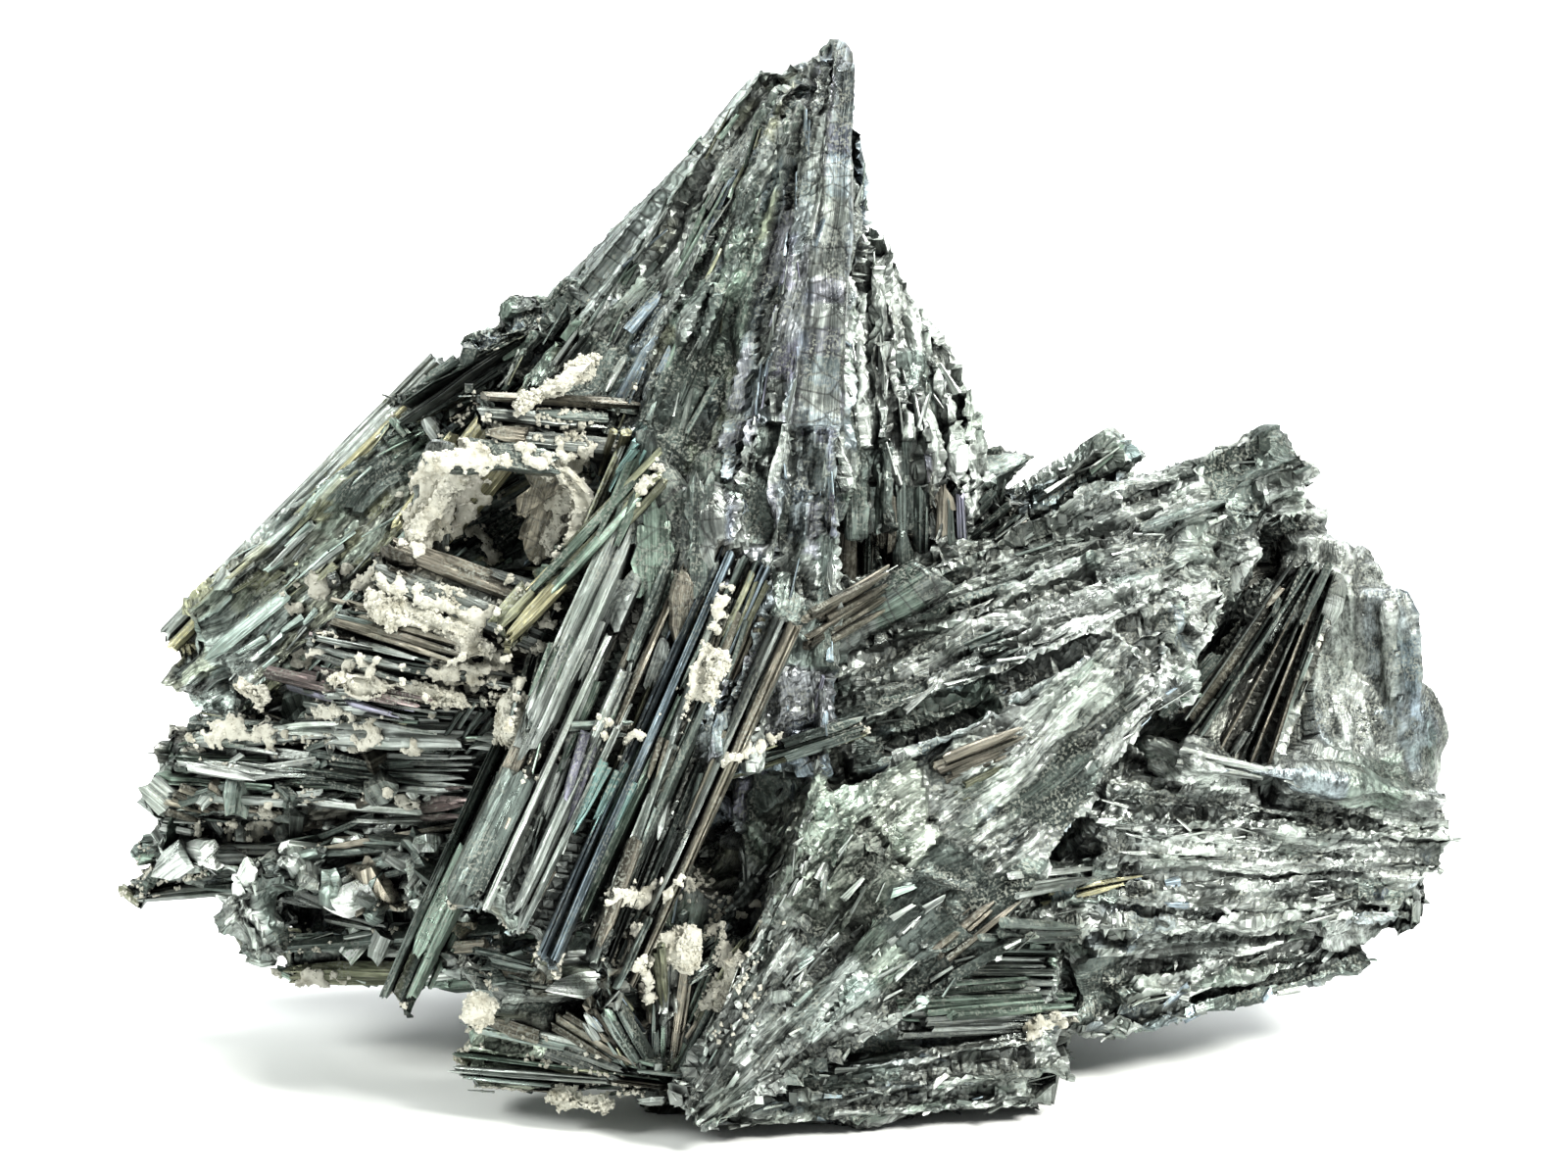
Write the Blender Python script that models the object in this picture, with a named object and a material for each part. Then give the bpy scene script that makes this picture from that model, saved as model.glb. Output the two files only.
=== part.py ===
"""A hand-sized stibnite crystal cluster with a pale druse crust.

One solid holds all the crystals that grew together. Each patch of crust is a solid of its own, sunk into a
socket in the crystals. The cluster rests on its flat broken base. Tables are in millimetres: +X is to the
right, +Y to the back and +Z up, with the origin under the middle of the box.
"""

import math
import random
from collections import namedtuple

import bmesh
import bpy
from mathutils import Vector

MM = 0.001
SOCKET_GAP = 0.45  # how far a socket's corners stand clear of the crust in it
FLOOR_CUT_DEPTH = 30.0
FLOOR_CUT_SIDE = 200.0
FRONT = (0.0, -1.0, 0.25)

# The outline of a crust's cross-section, in half widths and half thicknesses.
CRUST_SECTION = ((1.0, 0.0), (0.55, 0.9), (-0.5, 1.0), (-1.0, 0.1), (-0.55, -0.8), (0.5, -0.85))
CRUST_STEP = 1.1  # from one ring of a crust to the next, in half widths
CRUST_END = 0.6  # size of a crust's first and last rings

# A bundle is a sheaf of crystals side by side, from a root to a tip, whose broad faces look along facing.
Bundle = namedtuple("Bundle", "name root tip facing root_width tip_width thickness count ragged")

BUNDLES = (
    # The tall spire and the slope to its left.
    Bundle("spire_face", (-3, -20, 36), (5, 3, 105), (0.2, -1, 0.35), 15, 4, 10, 4, 2),
    Bundle("spire_edge", (4, -8, 62), (6, 6, 101), (1, -0.6, 0.2), 6, 3, 7, 2, 5),
    Bundle("spire_flank", (-18, -3, 66), (2, 4, 101), (-0.5, -1, 0.4), 25, 5, 12, 6, 4),
    Bundle("back_slab", (-27, 15, 68), (2, 9, 100), (-0.6, -0.4, 0.6), 9, 6, 7, 2, 2),
    Bundle("upper_left", (-11, 4, 78), (-39, 3, 61), (-0.3, -1, 0.4), 10, 15, 12, 5, 6),
    Bundle("left_long", (-34, 7, 71), (-64, 6, 41), (-0.6, -0.8, 0.5), 4, 4, 4, 1, 0),
    Bundle("left_slab", (-33, 4, 64), (-63, 3, 38), (-0.2, -1, 0.3), 13, 13, 6, 2, 4),
    # Around the open pocket on the left.
    Bundle("lintel", (-15, -6, 67), (-32, -13, 70), FRONT, 7, 6, 7, 2, 2),
    Bundle("pocket_wall", (-26, -4, 69), (-38, -8, 55), (0.1, -1, 0.3), 7, 7, 3, 1, 0),
    Bundle("sill", (-18, -14, 47), (-44, -12, 57), (0, -0.9, 0.4), 7, 6, 6, 2, 3),
    Bundle("pocket_inner", (-22, -7, 48), (-34, -3, 61), FRONT, 2, 8, 2.4, 3, 4),
    Bundle("fan_mid", (-24, -14, 43), (-49, -12, 47), FRONT, 6, 11, 6, 4, 4),
    Bundle("fan_low", (-24, -13, 39), (-50, -10, 39), FRONT, 6, 8, 6, 3, 4),
    # The low left side.
    Bundle("left_high", (-24, -10, 34), (-68, 0, 31), FRONT, 8, 11, 9, 3, 6),
    Bundle("left_low", (-26, -8, 27), (-70, 3, 23), FRONT, 8, 9, 9, 3, 7),
    Bundle("left_tail", (-42, 6, 20), (-71, 8, 17), FRONT, 7, 8, 8, 2, 3),
    Bundle("left_stub", (-50, 2, 17), (-54, -14, 23), (-0.3, 0.1, 1), 7, 7, 7, 1, 0),
    Bundle("left_lumps", (-36, 0, 17), (-44, -15, 25), (-0.2, -0.1, 1), 14, 14, 9, 2, 4),
    Bundle("left_underside", (-28, -6, 13), (-57, 0, 10), (0, -0.8, -0.5), 8, 7, 5, 2, 5),
    # The steep blades down the front.
    Bundle("front_edge", (-14, -12, 63), (-39, -22, 11), (-0.4, -1, 0.1), 5, 4, 5, 1, 0),
    Bundle("front_blades", (-9, -14, 58), (-27, -29, 18), (-0.1, -1, 0.1), 17, 17, 9, 5, 5),
    Bundle("front_right", (-3, -18, 52), (-19, -31, 14), (0.1, -1, 0.1), 9, 4, 8, 2, 5),
    Bundle("front_plates", (-9, -20, 40), (-12, -15, 66), (-0.1, -1, 0.3), 10, 8, 6, 2, 6),
    Bundle("bright_prism", (-18, -11, 58), (-14, -12, 69), FRONT, 4, 3, 4, 1, 0),
    Bundle("pocket_prism", (-16, -12, 61), (-29, -20, 48), (-0.3, -1, 0.3), 5, 4, 5, 1, 0),
    Bundle("crossing_needle", (-11, -23, 35), (9, -21, 41), FRONT, 2, 2, 3, 1, 0),
    # The small fan at the foot.
    Bundle("foot_left", (-11, -25, 6), (-34, -18, 7), (-0.1, -1, 0.2), 5, 11, 8, 3, 3),
    Bundle("foot_upper_left", (-13, -24, 6), (-19, -29, 17), (-0.4, -1, 0), 3, 5, 5, 2, 2),
    Bundle("foot_upper", (-12, -24, 6), (-11, -24, 21), FRONT, 3, 6, 4, 2, 3),
    Bundle("foot_upper_right", (-11, -25, 5), (-1, -24, 23), (0.2, -1, 0.2), 3, 9, 4, 2, 3),
    Bundle("foot_stub", (-16, -18, 13), (-33, -25, 15), (0, -0.8, 0.5), 8, 7, 8, 1, 0),
    # The broad fan that sweeps up to the right.
    Bundle("fan_sweep", (-9, -28, 3), (15, -24, 30), (0.1, -1, 0.4), 5, 28, 9, 6, 4),
    Bundle("fan_ridge", (-9, -26, 3), (38, -15, 48), (0.2, -1, 0.4), 5, 10, 9, 2, 3),
    Bundle("fan_ledge", (-9, -25, 3), (30, -17, 5), (0, -1, 0.2), 5, 9, 10, 3, 4),
    Bundle("right_prisms", (4, -10, 11), (31, -17, 13), (0, -0.9, 0.4), 8, 9, 6, 4, 4),
    # The arm that leans out to the right.
    Bundle("arm_crest", (-1, -4, 43), (54, 3, 62), (0, -1, 0.5), 9, 10, 9, 3, 4),
    Bundle("arm_middle", (0, -9, 38), (48, -4, 55), (0, -1, 0.4), 9, 12, 9, 4, 5),
    Bundle("arm_low", (3, -14, 33), (41, -13, 48), (0, -1, 0.3), 9, 12, 8, 4, 5),
    Bundle("arm_plate", (0, -11, 44), (16, -9, 54), FRONT, 6, 5, 3, 1, 0),
    Bundle("arm_back", (20, 8, 50), (37, 10, 61), (0, -1, 0.3), 8, 7, 9, 2, 3),
    # The rounded lobe at the far right.
    Bundle("lobe_rind", (60, 4, 12), (57, 6, 53), (0.3, -1, 0.1), 14, 11, 15, 4, 5),
    Bundle("lobe_needles", (54, -1, 52), (43, -9, 33), (0, -1, 0.1), 6, 16, 3, 4, 2),
    Bundle("lobe_ledge", (66, 0, 27), (36, -12, 35), (0, -0.9, 0.5), 4, 4, 8, 1, 0),
    Bundle("lobe_band", (67, 3, 22), (28, -13, 29), FRONT, 8, 9, 10, 3, 4),
    Bundle("lobe_low", (65, 3, 16), (22, -13, 20), FRONT, 7, 8, 10, 3, 4),
    Bundle("lobe_bottom", (59, 4, 12), (28, -11, 8), (0.1, -1, -0.1), 6, 7, 10, 2, 5),
    # The shoulder behind the spire, and the recess under it.
    Bundle("shoulder_high", (8, 0, 55), (7, 5, 88), (0.4, -1, 0.2), 9, 6, 12, 3, 5),
    Bundle("shoulder_low", (16, 3, 52), (13, 7, 75), (0.5, -1, 0.2), 9, 8, 12, 3, 6),
    Bundle("shoulder_block", (13, 5, 54), (22, 5, 65), (0.1, -1, 0.2), 10, 9, 10, 1, 0),
    Bundle("saddle_fan", (14, 2, 49), (25, 1, 59), FRONT, 4, 8, 5, 3, 3),
    Bundle("recess", (11, -1, 42), (11, -1, 64), (0.1, -1, 0), 17, 14, 5, 4, 3),
    # The back, which grew the same way.
    Bundle("back_spire", (1, 25, 24), (3, 9, 99), (-0.1, 1, 0.2), 26, 5, 11, 4, 5),
    Bundle("back_flank", (-4, 15, 84), (-42, 14, 53), (-0.4, 1, 0.4), 10, 18, 7, 3, 5),
    Bundle("back_left_high", (-4, 22, 38), (-52, 15, 50), (-0.2, 1, 0.3), 18, 15, 11, 3, 7),
    Bundle("back_left_low", (-4, 24, 18), (-62, 16, 27), (-0.2, 1, 0.1), 18, 17, 12, 3, 7),
    Bundle("back_right_high", (4, 22, 36), (50, 15, 50), (0.2, 1, 0.3), 20, 16, 11, 3, 7),
    Bundle("back_right_low", (6, 24, 16), (60, 16, 25), (0.2, 1, 0.1), 18, 20, 12, 3, 6),
    Bundle("back_foot", (2, 20, 26), (-4, 32, 4), (0, 1, 0.3), 20, 34, 9, 3, 4),
)

# Massive stibnite between the bundles: the corners of convex lumps.
LUMPS = (
    # Middle, standing on the base.
    ((-14, -20, 0), (8, -24, 0), (26, -14, 0), (30, 8, 0), (18, 26, 0), (-10, 27, 0), (-21, 4, 0),
     (-18, -16, 24), (8, -15, 24), (30, -10, 22), (34, 12, 26), (12, 27, 34), (-14, 26, 32), (-26, 6, 28),
     (-12, -12, 56), (4, -8, 54), (10, 14, 56), (-14, 14, 56)),
    # Low left.
    ((-20, -6, 10), (-50, 0, 11), (-60, 6, 16), (-60, 10, 34), (-46, 14, 50), (-18, 16, 52), (-14, 20, 16),
     (-20, -8, 46), (-46, -4, 42), (-54, -2, 26)),
    # Up the left, behind the pocket.
    ((-14, 4, 50), (-50, 5, 46), (-58, 7, 43), (-32, 6, 71), (-12, 2, 82), (-10, 15, 60), (-36, 15, 52),
     (-6, 12, 90)),
    # The spire's inside.
    ((-16, -6, 46), (4, -9, 46), (12, 4, 52), (0, 18, 52), (-20, 10, 62), (2, 0, 94), (5, 6, 94), (0, 9, 90)),
    # Right, under the arm and inside the lobe.
    ((14, -6, 6), (34, -6, 7), (56, 3, 12), (60, 8, 16), (60, 10, 42), (48, 2, 56), (12, -2, 40),
     (20, 20, 10), (52, 18, 24), (46, 16, 48), (10, 18, 44), (36, -8, 28)),
    # The lobe's rounded edge.
    ((50, 2, 54), (57, 3, 54), (62, 3, 50), (65, 2, 43), (67, 2, 30), (68, 2, 20), (64, 2, 12), (50, 0, 10),
     (46, 12, 52), (60, 12, 42), (63, 12, 28), (58, 12, 12), (44, 12, 12)),
    # The shoulder.
    ((2, 2, 46), (22, 4, 46), (24, 6, 58), (15, 6, 70), (6, 4, 82), (2, 14, 78), (20, 14, 56), (4, 18, 48)),
    # Rubble beside the lower pocket.
    ((-2, -18, 22), (12, -20, 24), (18, -16, 34), (4, -17, 40), (-4, -16, 38), (2, -8, 22), (16, -8, 26),
     (4, -8, 40)),
    # A bright facet in the rubble.
    ((-1, -18, 25), (5, -20, 29), (4, -21, 24), (0, -16, 30), (7, -15, 24), (2, -12, 20)),
)

# Hollows in the massive part: centre and half sizes.
HOLLOWS = (
    ((-26, -7, 57), (6, 11, 7.5)),
    ((-7, -20, 27), (4, 10, 6)),
)

# A crust is a lumpy strip along a line, flattened against what it grows on, which looks along facing.
Crust = namedtuple("Crust", "name points facing radius thickness")

CRUSTS = (
    Crust("crust_pocket", ((-38, -12, 56), (-34, -11, 62), (-30, -12, 66), (-25, -13, 66), (-21, -13, 64),
                           (-20, -14, 60), (-22, -15, 54)), FRONT, 2.4, 1.6),
    Crust("crust_lintel", ((-27, -14, 71), (-22, -12, 73), (-18, -9, 76)), (-0.2, -0.8, 0.6), 2.2, 1.8),
    Crust("crust_sill", ((-42, -15, 53), (-35, -16, 50), (-28, -17, 47)), FRONT, 2.2, 1.6),
    Crust("crust_fan", ((-46, -15, 44), (-38, -16, 43), (-31, -17, 42)), FRONT, 2.0, 1.6),
    Crust("crust_knot", ((-26, -19, 44), (-28, -20, 38)), (-0.3, -1, 0.2), 2.2, 1.8),
    Crust("crust_left", ((-56, -7, 41), (-51, -8, 40)), FRONT, 2.2, 1.6),
    Crust("crust_front_seam", ((-6, -25, 50), (-8, -26, 44)), FRONT, 1.6, 1.6),
    Crust("crust_foot", ((-18, -29, 19), (-13, -29, 20), (-8, -28, 20)), FRONT, 2.0, 1.5),
    Crust("crust_foot_right", ((-4, -27, 20), (-7, -28, 13)), FRONT, 2.0, 1.5),
    Crust("crust_stub", ((-30, -28, 16), (-29, -28, 12)), FRONT, 2.2, 1.6),
    Crust("crust_sole", ((-24, -25, 4), (-16, -26, 3)), (0, -1, -0.3), 1.8, 1.6),
)


def in_metres(points):
    """Turns places in the tables' millimetres into vectors in metres."""
    return [Vector(point) * MM for point in points]


def sheaf_profile(rng, count):
    """Picks the cross-section of a sheaf, from -0.5 to 0.5 across and about -1 to 1 through it.

    Gives the grooves between crystals as (across, front, back), and for each crystal its two ridges as
    (across, front).
    """
    widths = [rng.uniform(0.7, 1.3) for _ in range(count)]
    grooves = []
    ridges = []
    at = 0.0
    for i, width in enumerate(widths):
        across = at / sum(widths) - 0.5
        grooves.append((across, rng.uniform(0.25, 0.6) if i else 0.1, -1.0 if i else -0.5))
        part = width / sum(widths)
        ridges.append(((across + part * rng.uniform(0.15, 0.35), rng.uniform(0.7, 1.2)),
                       (across + part * rng.uniform(0.6, 0.85), rng.uniform(0.7, 1.2))))
        at += width
    grooves.append((0.5, 0.1, -0.5))
    return grooves, ridges


def add_sheaf(mesh, bundle):
    """Adds one closed sheaf whose crystals end at different lengths, each with a slanted end."""
    rng = random.Random(bundle.name)
    root, tip = in_metres((bundle.root, bundle.tip))
    length = (tip - root).length
    axis = (tip - root).normalized()
    side = axis.cross(Vector(bundle.facing)).normalized()
    face = side.cross(axis)
    grooves, ridges = sheaf_profile(rng, bundle.count)
    taper = rng.uniform(0.75, 0.95)
    half = 0.5 * bundle.thickness * MM

    def place(across, through, along):
        low = root + side * (across * bundle.root_width * MM) + face * (through * half)
        high = tip + side * (across * bundle.tip_width * MM) + face * (through * half * taper)
        return low.lerp(high, along)

    ends = []
    for _ in range(bundle.count):
        tilt = rng.uniform(-0.5, 0.5) * bundle.tip_width / bundle.count * MM / length
        drop = rng.uniform(0, bundle.ragged) * MM / length + abs(tilt)
        ends.append((1 - drop + tilt, 1 - drop - tilt))

    front = []
    back = []
    for j, (across, high, low) in enumerate(grooves):
        levels = {0.0}
        if j > 0:
            levels.add(ends[j - 1][1])
        if j < bundle.count:
            levels.add(ends[j][0])
        front.append({level: mesh.verts.new(place(across, high, level)) for level in sorted(levels)})
        back.append({level: mesh.verts.new(place(across, low, level)) for level in sorted(levels)})

    def rising(line, top):
        return [line[level] for level in sorted(line) if level <= top]

    for i in range(bundle.count):
        left, right = ends[i]
        bevel = rng.uniform(0.0, 0.6) * half / length
        ridge_levels = (0.7 * left + 0.3 * right - bevel, 0.3 * left + 0.7 * right - bevel)
        p, q = [[mesh.verts.new(place(across, high, level)) for level in (0.0, top)]
                for (across, high), top in zip(ridges[i], ridge_levels)]
        front_left = rising(front[i], left)
        front_right = rising(front[i + 1], right)
        back_left = rising(back[i], left)
        back_right = rising(back[i + 1], right)
        mesh.faces.new([p[1], p[0]] + front_left)
        mesh.faces.new([q[1], q[0], p[0], p[1]])
        mesh.faces.new(front_right[::-1] + [q[0], q[1]])
        mesh.faces.new(back_left[::-1] + back_right)
        mesh.faces.new([front_left[-1], p[1], q[1], front_right[-1], back_right[-1], back_left[-1]])
        mesh.faces.new([front_left[0], p[0], q[0], front_right[0], back_right[0], back_left[0]])
    for near, far in zip(front, back):
        low, high = sorted(near)[-2:]
        mesh.faces.new((near[low], near[high], far[high], far[low]))


def object_from(mesh, name, material=None):
    """Turns a bmesh into a linked object."""
    bmesh.ops.recalc_face_normals(mesh, faces=mesh.faces)
    data = bpy.data.meshes.new(name)
    mesh.to_mesh(data)
    mesh.free()
    made = bpy.data.objects.new(name, data)
    bpy.context.scene.collection.objects.link(made)
    if material:
        data.materials.append(material)
    return made


def hide_helper(helper):
    helper.hide_render = True
    helper.display_type = "WIRE"
    return helper


def combine(target, helper, operation, own=False):
    """Applies a Boolean with helper to target and removes helper. own also joins what overlaps in one."""
    modifier = target.modifiers.new(operation.lower(), "BOOLEAN")
    modifier.operation = operation
    modifier.solver = "EXACT"
    modifier.use_self = own
    modifier.object = helper
    bpy.context.view_layer.update()
    evaluated = target.evaluated_get(bpy.context.evaluated_depsgraph_get())
    data = bpy.data.meshes.new_from_object(evaluated)
    target.modifiers.clear()
    old = target.data
    target.data = data
    bpy.data.meshes.remove(old)
    bpy.data.objects.remove(helper)


def lumps_object():
    """The convex lumps of massive stibnite, still overlapping."""
    mesh = bmesh.new()
    for corners in LUMPS:
        points = [mesh.verts.new(place) for place in in_metres(corners)]
        hull = bmesh.ops.convex_hull(mesh, input=points)
        inside = [v for v in hull["geom_interior"] if isinstance(v, bmesh.types.BMVert)]
        bmesh.ops.delete(mesh, geom=inside, context="VERTS")
    return hide_helper(object_from(mesh, "lumps"))


def hollows_object():
    """Rough round cutters for the two pockets."""
    mesh = bmesh.new()
    rng = random.Random("hollows")
    for centre, halves in HOLLOWS:
        for vertex in bmesh.ops.create_icosphere(mesh, subdivisions=1, radius=1.0)["verts"]:
            stretched = [co * half * rng.uniform(0.9, 1.1) for co, half in zip(vertex.co, halves)]
            vertex.co = (Vector(stretched) + Vector(centre)) * MM
    return hide_helper(object_from(mesh, "hollow_cutter"))


def spaced_along(points, spacing):
    """Evenly spaced places along a line of points."""
    line = [Vector(point) for point in points]
    places = []
    for start, stop in zip(line, line[1:]):
        steps = math.ceil((stop - start).length / spacing)
        places += [start.lerp(stop, k / steps) for k in range(steps)]
    return places + [line[-1]]


def add_crust(mesh, crust, grow):
    """Adds one closed, lumpy strip of crust, grown by grow on every side."""
    rng = random.Random(crust.name)
    places = spaced_along(crust.points, CRUST_STEP * crust.radius)
    places = [2 * places[0] - places[1]] + places + [2 * places[-1] - places[-2]]
    rings = []
    for k in range(1, len(places) - 1):
        axis = (places[k + 1] - places[k - 1]).normalized()
        side = axis.cross(Vector(crust.facing)).normalized()
        face = side.cross(axis)
        size = rng.uniform(0.8, 1.15)
        shift = 0
        if k == 1:
            size, shift = CRUST_END, -grow
        if k == len(places) - 2:
            size, shift = CRUST_END, grow
        ring = []
        for x, y in CRUST_SECTION:
            lump = size * rng.uniform(0.85, 1.2)
            clear = Vector((x, y)).normalized() * grow
            spot = places[k] + side * (x * crust.radius * lump + clear.x) + axis * shift
            spot += face * (y * crust.thickness * lump + clear.y)
            ring.append(mesh.verts.new(spot * MM))
        rings.append(ring)
    count = len(CRUST_SECTION)
    for lower, upper in zip(rings, rings[1:]):
        for i in range(count):
            j = (i + 1) % count
            mesh.faces.new((lower[i], lower[j], upper[j]))
            mesh.faces.new((lower[i], upper[j], upper[i]))
    mesh.faces.new(rings[0][::-1])
    mesh.faces.new(rings[-1])


def cutter_object():
    """The block below the flat base, and the sockets of the crusts."""
    mesh = bmesh.new()
    block = bmesh.ops.create_cube(mesh, size=1.0)["verts"]
    bmesh.ops.scale(mesh, verts=block, vec=Vector((FLOOR_CUT_SIDE, FLOOR_CUT_SIDE, FLOOR_CUT_DEPTH)) * MM)
    bmesh.ops.translate(mesh, verts=block, vec=(0, 0, -0.5 * FLOOR_CUT_DEPTH * MM))
    for crust in CRUSTS:
        add_crust(mesh, crust, SOCKET_GAP)
    return hide_helper(object_from(mesh, "socket_cutter"))


def keep_largest_body(target):
    """Drops crumbs that a cut has parted from the main body."""
    mesh = bmesh.new()
    mesh.from_mesh(target.data)
    left = set(mesh.verts)
    bodies = []
    while left:
        stack = [left.pop()]
        body = set(stack)
        while stack:
            for edge in stack.pop().link_edges:
                for vertex in edge.verts:
                    if vertex in left:
                        left.remove(vertex)
                        body.add(vertex)
                        stack.append(vertex)
        bodies.append(body)
    bodies.sort(key=len)
    for body in bodies[:-1]:
        bmesh.ops.delete(mesh, geom=list(body), context="VERTS")
    mesh.to_mesh(target.data)
    mesh.free()


def make_material(name, colour, metallic, roughness):
    material = bpy.data.materials.new(name)
    material.use_nodes = True
    shader = material.node_tree.nodes["Principled BSDF"]
    shader.inputs["Base Color"].default_value = (*colour, 1.0)
    shader.inputs["Metallic"].default_value = metallic
    shader.inputs["Roughness"].default_value = roughness
    return material


def make_stibnite(material):
    mesh = bmesh.new()
    for bundle in BUNDLES:
        add_sheaf(mesh, bundle)
    cluster = object_from(mesh, "stibnite_cluster")
    lumps = lumps_object()
    combine(lumps, hollows_object(), "DIFFERENCE", own=True)
    combine(cluster, lumps, "UNION", own=True)
    combine(cluster, cutter_object(), "DIFFERENCE")
    keep_largest_body(cluster)
    cluster.data.materials.clear()
    cluster.data.materials.append(material)


def main():
    for old in list(bpy.data.objects):
        bpy.data.objects.remove(old)
    stibnite = make_material("stibnite", (0.27, 0.29, 0.3), 0.9, 0.35)
    druse = make_material("druse", (0.83, 0.81, 0.72), 0.0, 0.7)
    make_stibnite(stibnite)
    for crust in CRUSTS:
        mesh = bmesh.new()
        add_crust(mesh, crust, 0)
        object_from(mesh, crust.name, druse)


main()
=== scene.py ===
import math
import random

import bmesh
import bpy
import numpy as np
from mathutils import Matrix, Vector
from mathutils.bvhtree import BVHTree


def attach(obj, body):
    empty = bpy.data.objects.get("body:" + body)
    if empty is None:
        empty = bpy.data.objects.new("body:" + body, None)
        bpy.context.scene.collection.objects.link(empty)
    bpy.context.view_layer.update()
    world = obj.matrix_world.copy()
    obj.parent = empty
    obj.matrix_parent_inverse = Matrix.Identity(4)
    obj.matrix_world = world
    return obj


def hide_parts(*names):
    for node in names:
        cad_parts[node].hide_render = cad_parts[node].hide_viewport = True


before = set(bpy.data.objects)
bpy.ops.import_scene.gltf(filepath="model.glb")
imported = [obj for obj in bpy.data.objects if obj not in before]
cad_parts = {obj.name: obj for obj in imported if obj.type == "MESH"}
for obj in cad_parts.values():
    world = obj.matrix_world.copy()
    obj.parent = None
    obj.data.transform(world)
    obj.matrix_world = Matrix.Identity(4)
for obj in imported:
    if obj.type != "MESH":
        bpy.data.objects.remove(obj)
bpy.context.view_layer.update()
mm = 0.001
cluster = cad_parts["stibnite_cluster"]
crustNodes = sorted(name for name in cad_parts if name.startswith("crust_"))
print("frame loaded:", len(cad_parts), "nodes")

# Camera and light come first, so that each later piece can be looked at as it will be seen.

studio = {  # metres, degrees and watts; lens and sensor in millimetres
    "target": (0, 0, 0.0495), "distance": 0.5, "elevation": 14, "lens": 112.5, "sensor": 36, "nearest": 0.01,
    "floorRadius": 4.0, "floorSides": 96, "floorDrop": 0.0001, "floorColour": (0.86, 0.87, 0.86),
    "floorRoughness": 0.6, "floorShine": 0.3, "worldColour": (0.84, 0.89, 0.872), "worldStrength": 0.42,
    "lamps": (  # name, place, size, watts, colour
        ("lampRight", (0.75, -0.55, 0.85), 0.4, 30, (1.0, 1.0, 0.95)),
        ("lampLeft", (-0.85, -0.35, 0.75), 0.4, 11, (0.97, 1.0, 0.96)),
        ("lampTop", (0.05, 0.15, 1.1), 0.6, 20, (1.0, 1.0, 1.0)),
        ("lampBack", (0.3, 0.9, 0.7), 0.8, 12, (0.96, 0.98, 1.0)),
    ),
}


def aim(thing, target):
    direction = Vector(target) - thing.location
    thing.rotation_euler = direction.to_track_quat("-Z", "Y").to_euler()


def linked(name, data):
    made = bpy.data.objects.new(name, data)
    bpy.context.scene.collection.objects.link(made)
    return made


def buildCamera():
    tilt = math.radians(studio["elevation"])
    away = Vector((0, -math.cos(tilt), math.sin(tilt)))
    camera = linked("camera", bpy.data.cameras.new("camera"))
    camera.data.sensor_width = studio["sensor"]
    camera.data.lens = studio["lens"]
    camera.data.clip_start = studio["nearest"]
    camera.location = Vector(studio["target"]) + away * studio["distance"]
    aim(camera, studio["target"])
    bpy.context.scene.camera = camera


def buildLamps():
    for name, place, size, watts, colour in studio["lamps"]:
        lamp = linked(name, bpy.data.lights.new(name, "AREA"))
        lamp.data.shape = "DISK"
        lamp.data.size = size
        lamp.data.energy = watts
        lamp.data.color = colour
        lamp.location = place
        aim(lamp, studio["target"])
    world = bpy.data.worlds.new("studio")
    world.use_nodes = True
    sky = world.node_tree.nodes["Background"]
    sky.inputs["Color"].default_value = (*studio["worldColour"], 1)
    sky.inputs["Strength"].default_value = studio["worldStrength"]
    bpy.context.scene.world = world
    bpy.context.scene.view_settings.view_transform = "Standard"


def buildFloor():
    radius, sides = studio["floorRadius"], studio["floorSides"]
    turns = [2 * math.pi * k / sides for k in range(sides)]
    rim = [(radius * math.cos(turn), radius * math.sin(turn), -studio["floorDrop"]) for turn in turns]
    mesh = bpy.data.meshes.new("floor")
    mesh.from_pydata(rim, [], [list(range(len(rim)))])
    floor = linked("floor", mesh)
    paper = bpy.data.materials.new("paper")
    paper.use_nodes = True
    shader = paper.node_tree.nodes["Principled BSDF"]
    shader.inputs["Base Color"].default_value = (*studio["floorColour"], 1)
    shader.inputs["Roughness"].default_value = studio["floorRoughness"]
    shader.inputs["Specular IOR Level"].default_value = studio["floorShine"]
    mesh.materials.append(paper)


buildCamera()
buildLamps()
buildFloor()
print("camera, lamps and floor are in place")

# Most crystals are small closed blades. They are made many at a time, and each piece is one heap of them.

lowest = 0.00005  # metres; no point lies below this height
solidParts = []  # points and faces of all that the crusts can lie on


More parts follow.
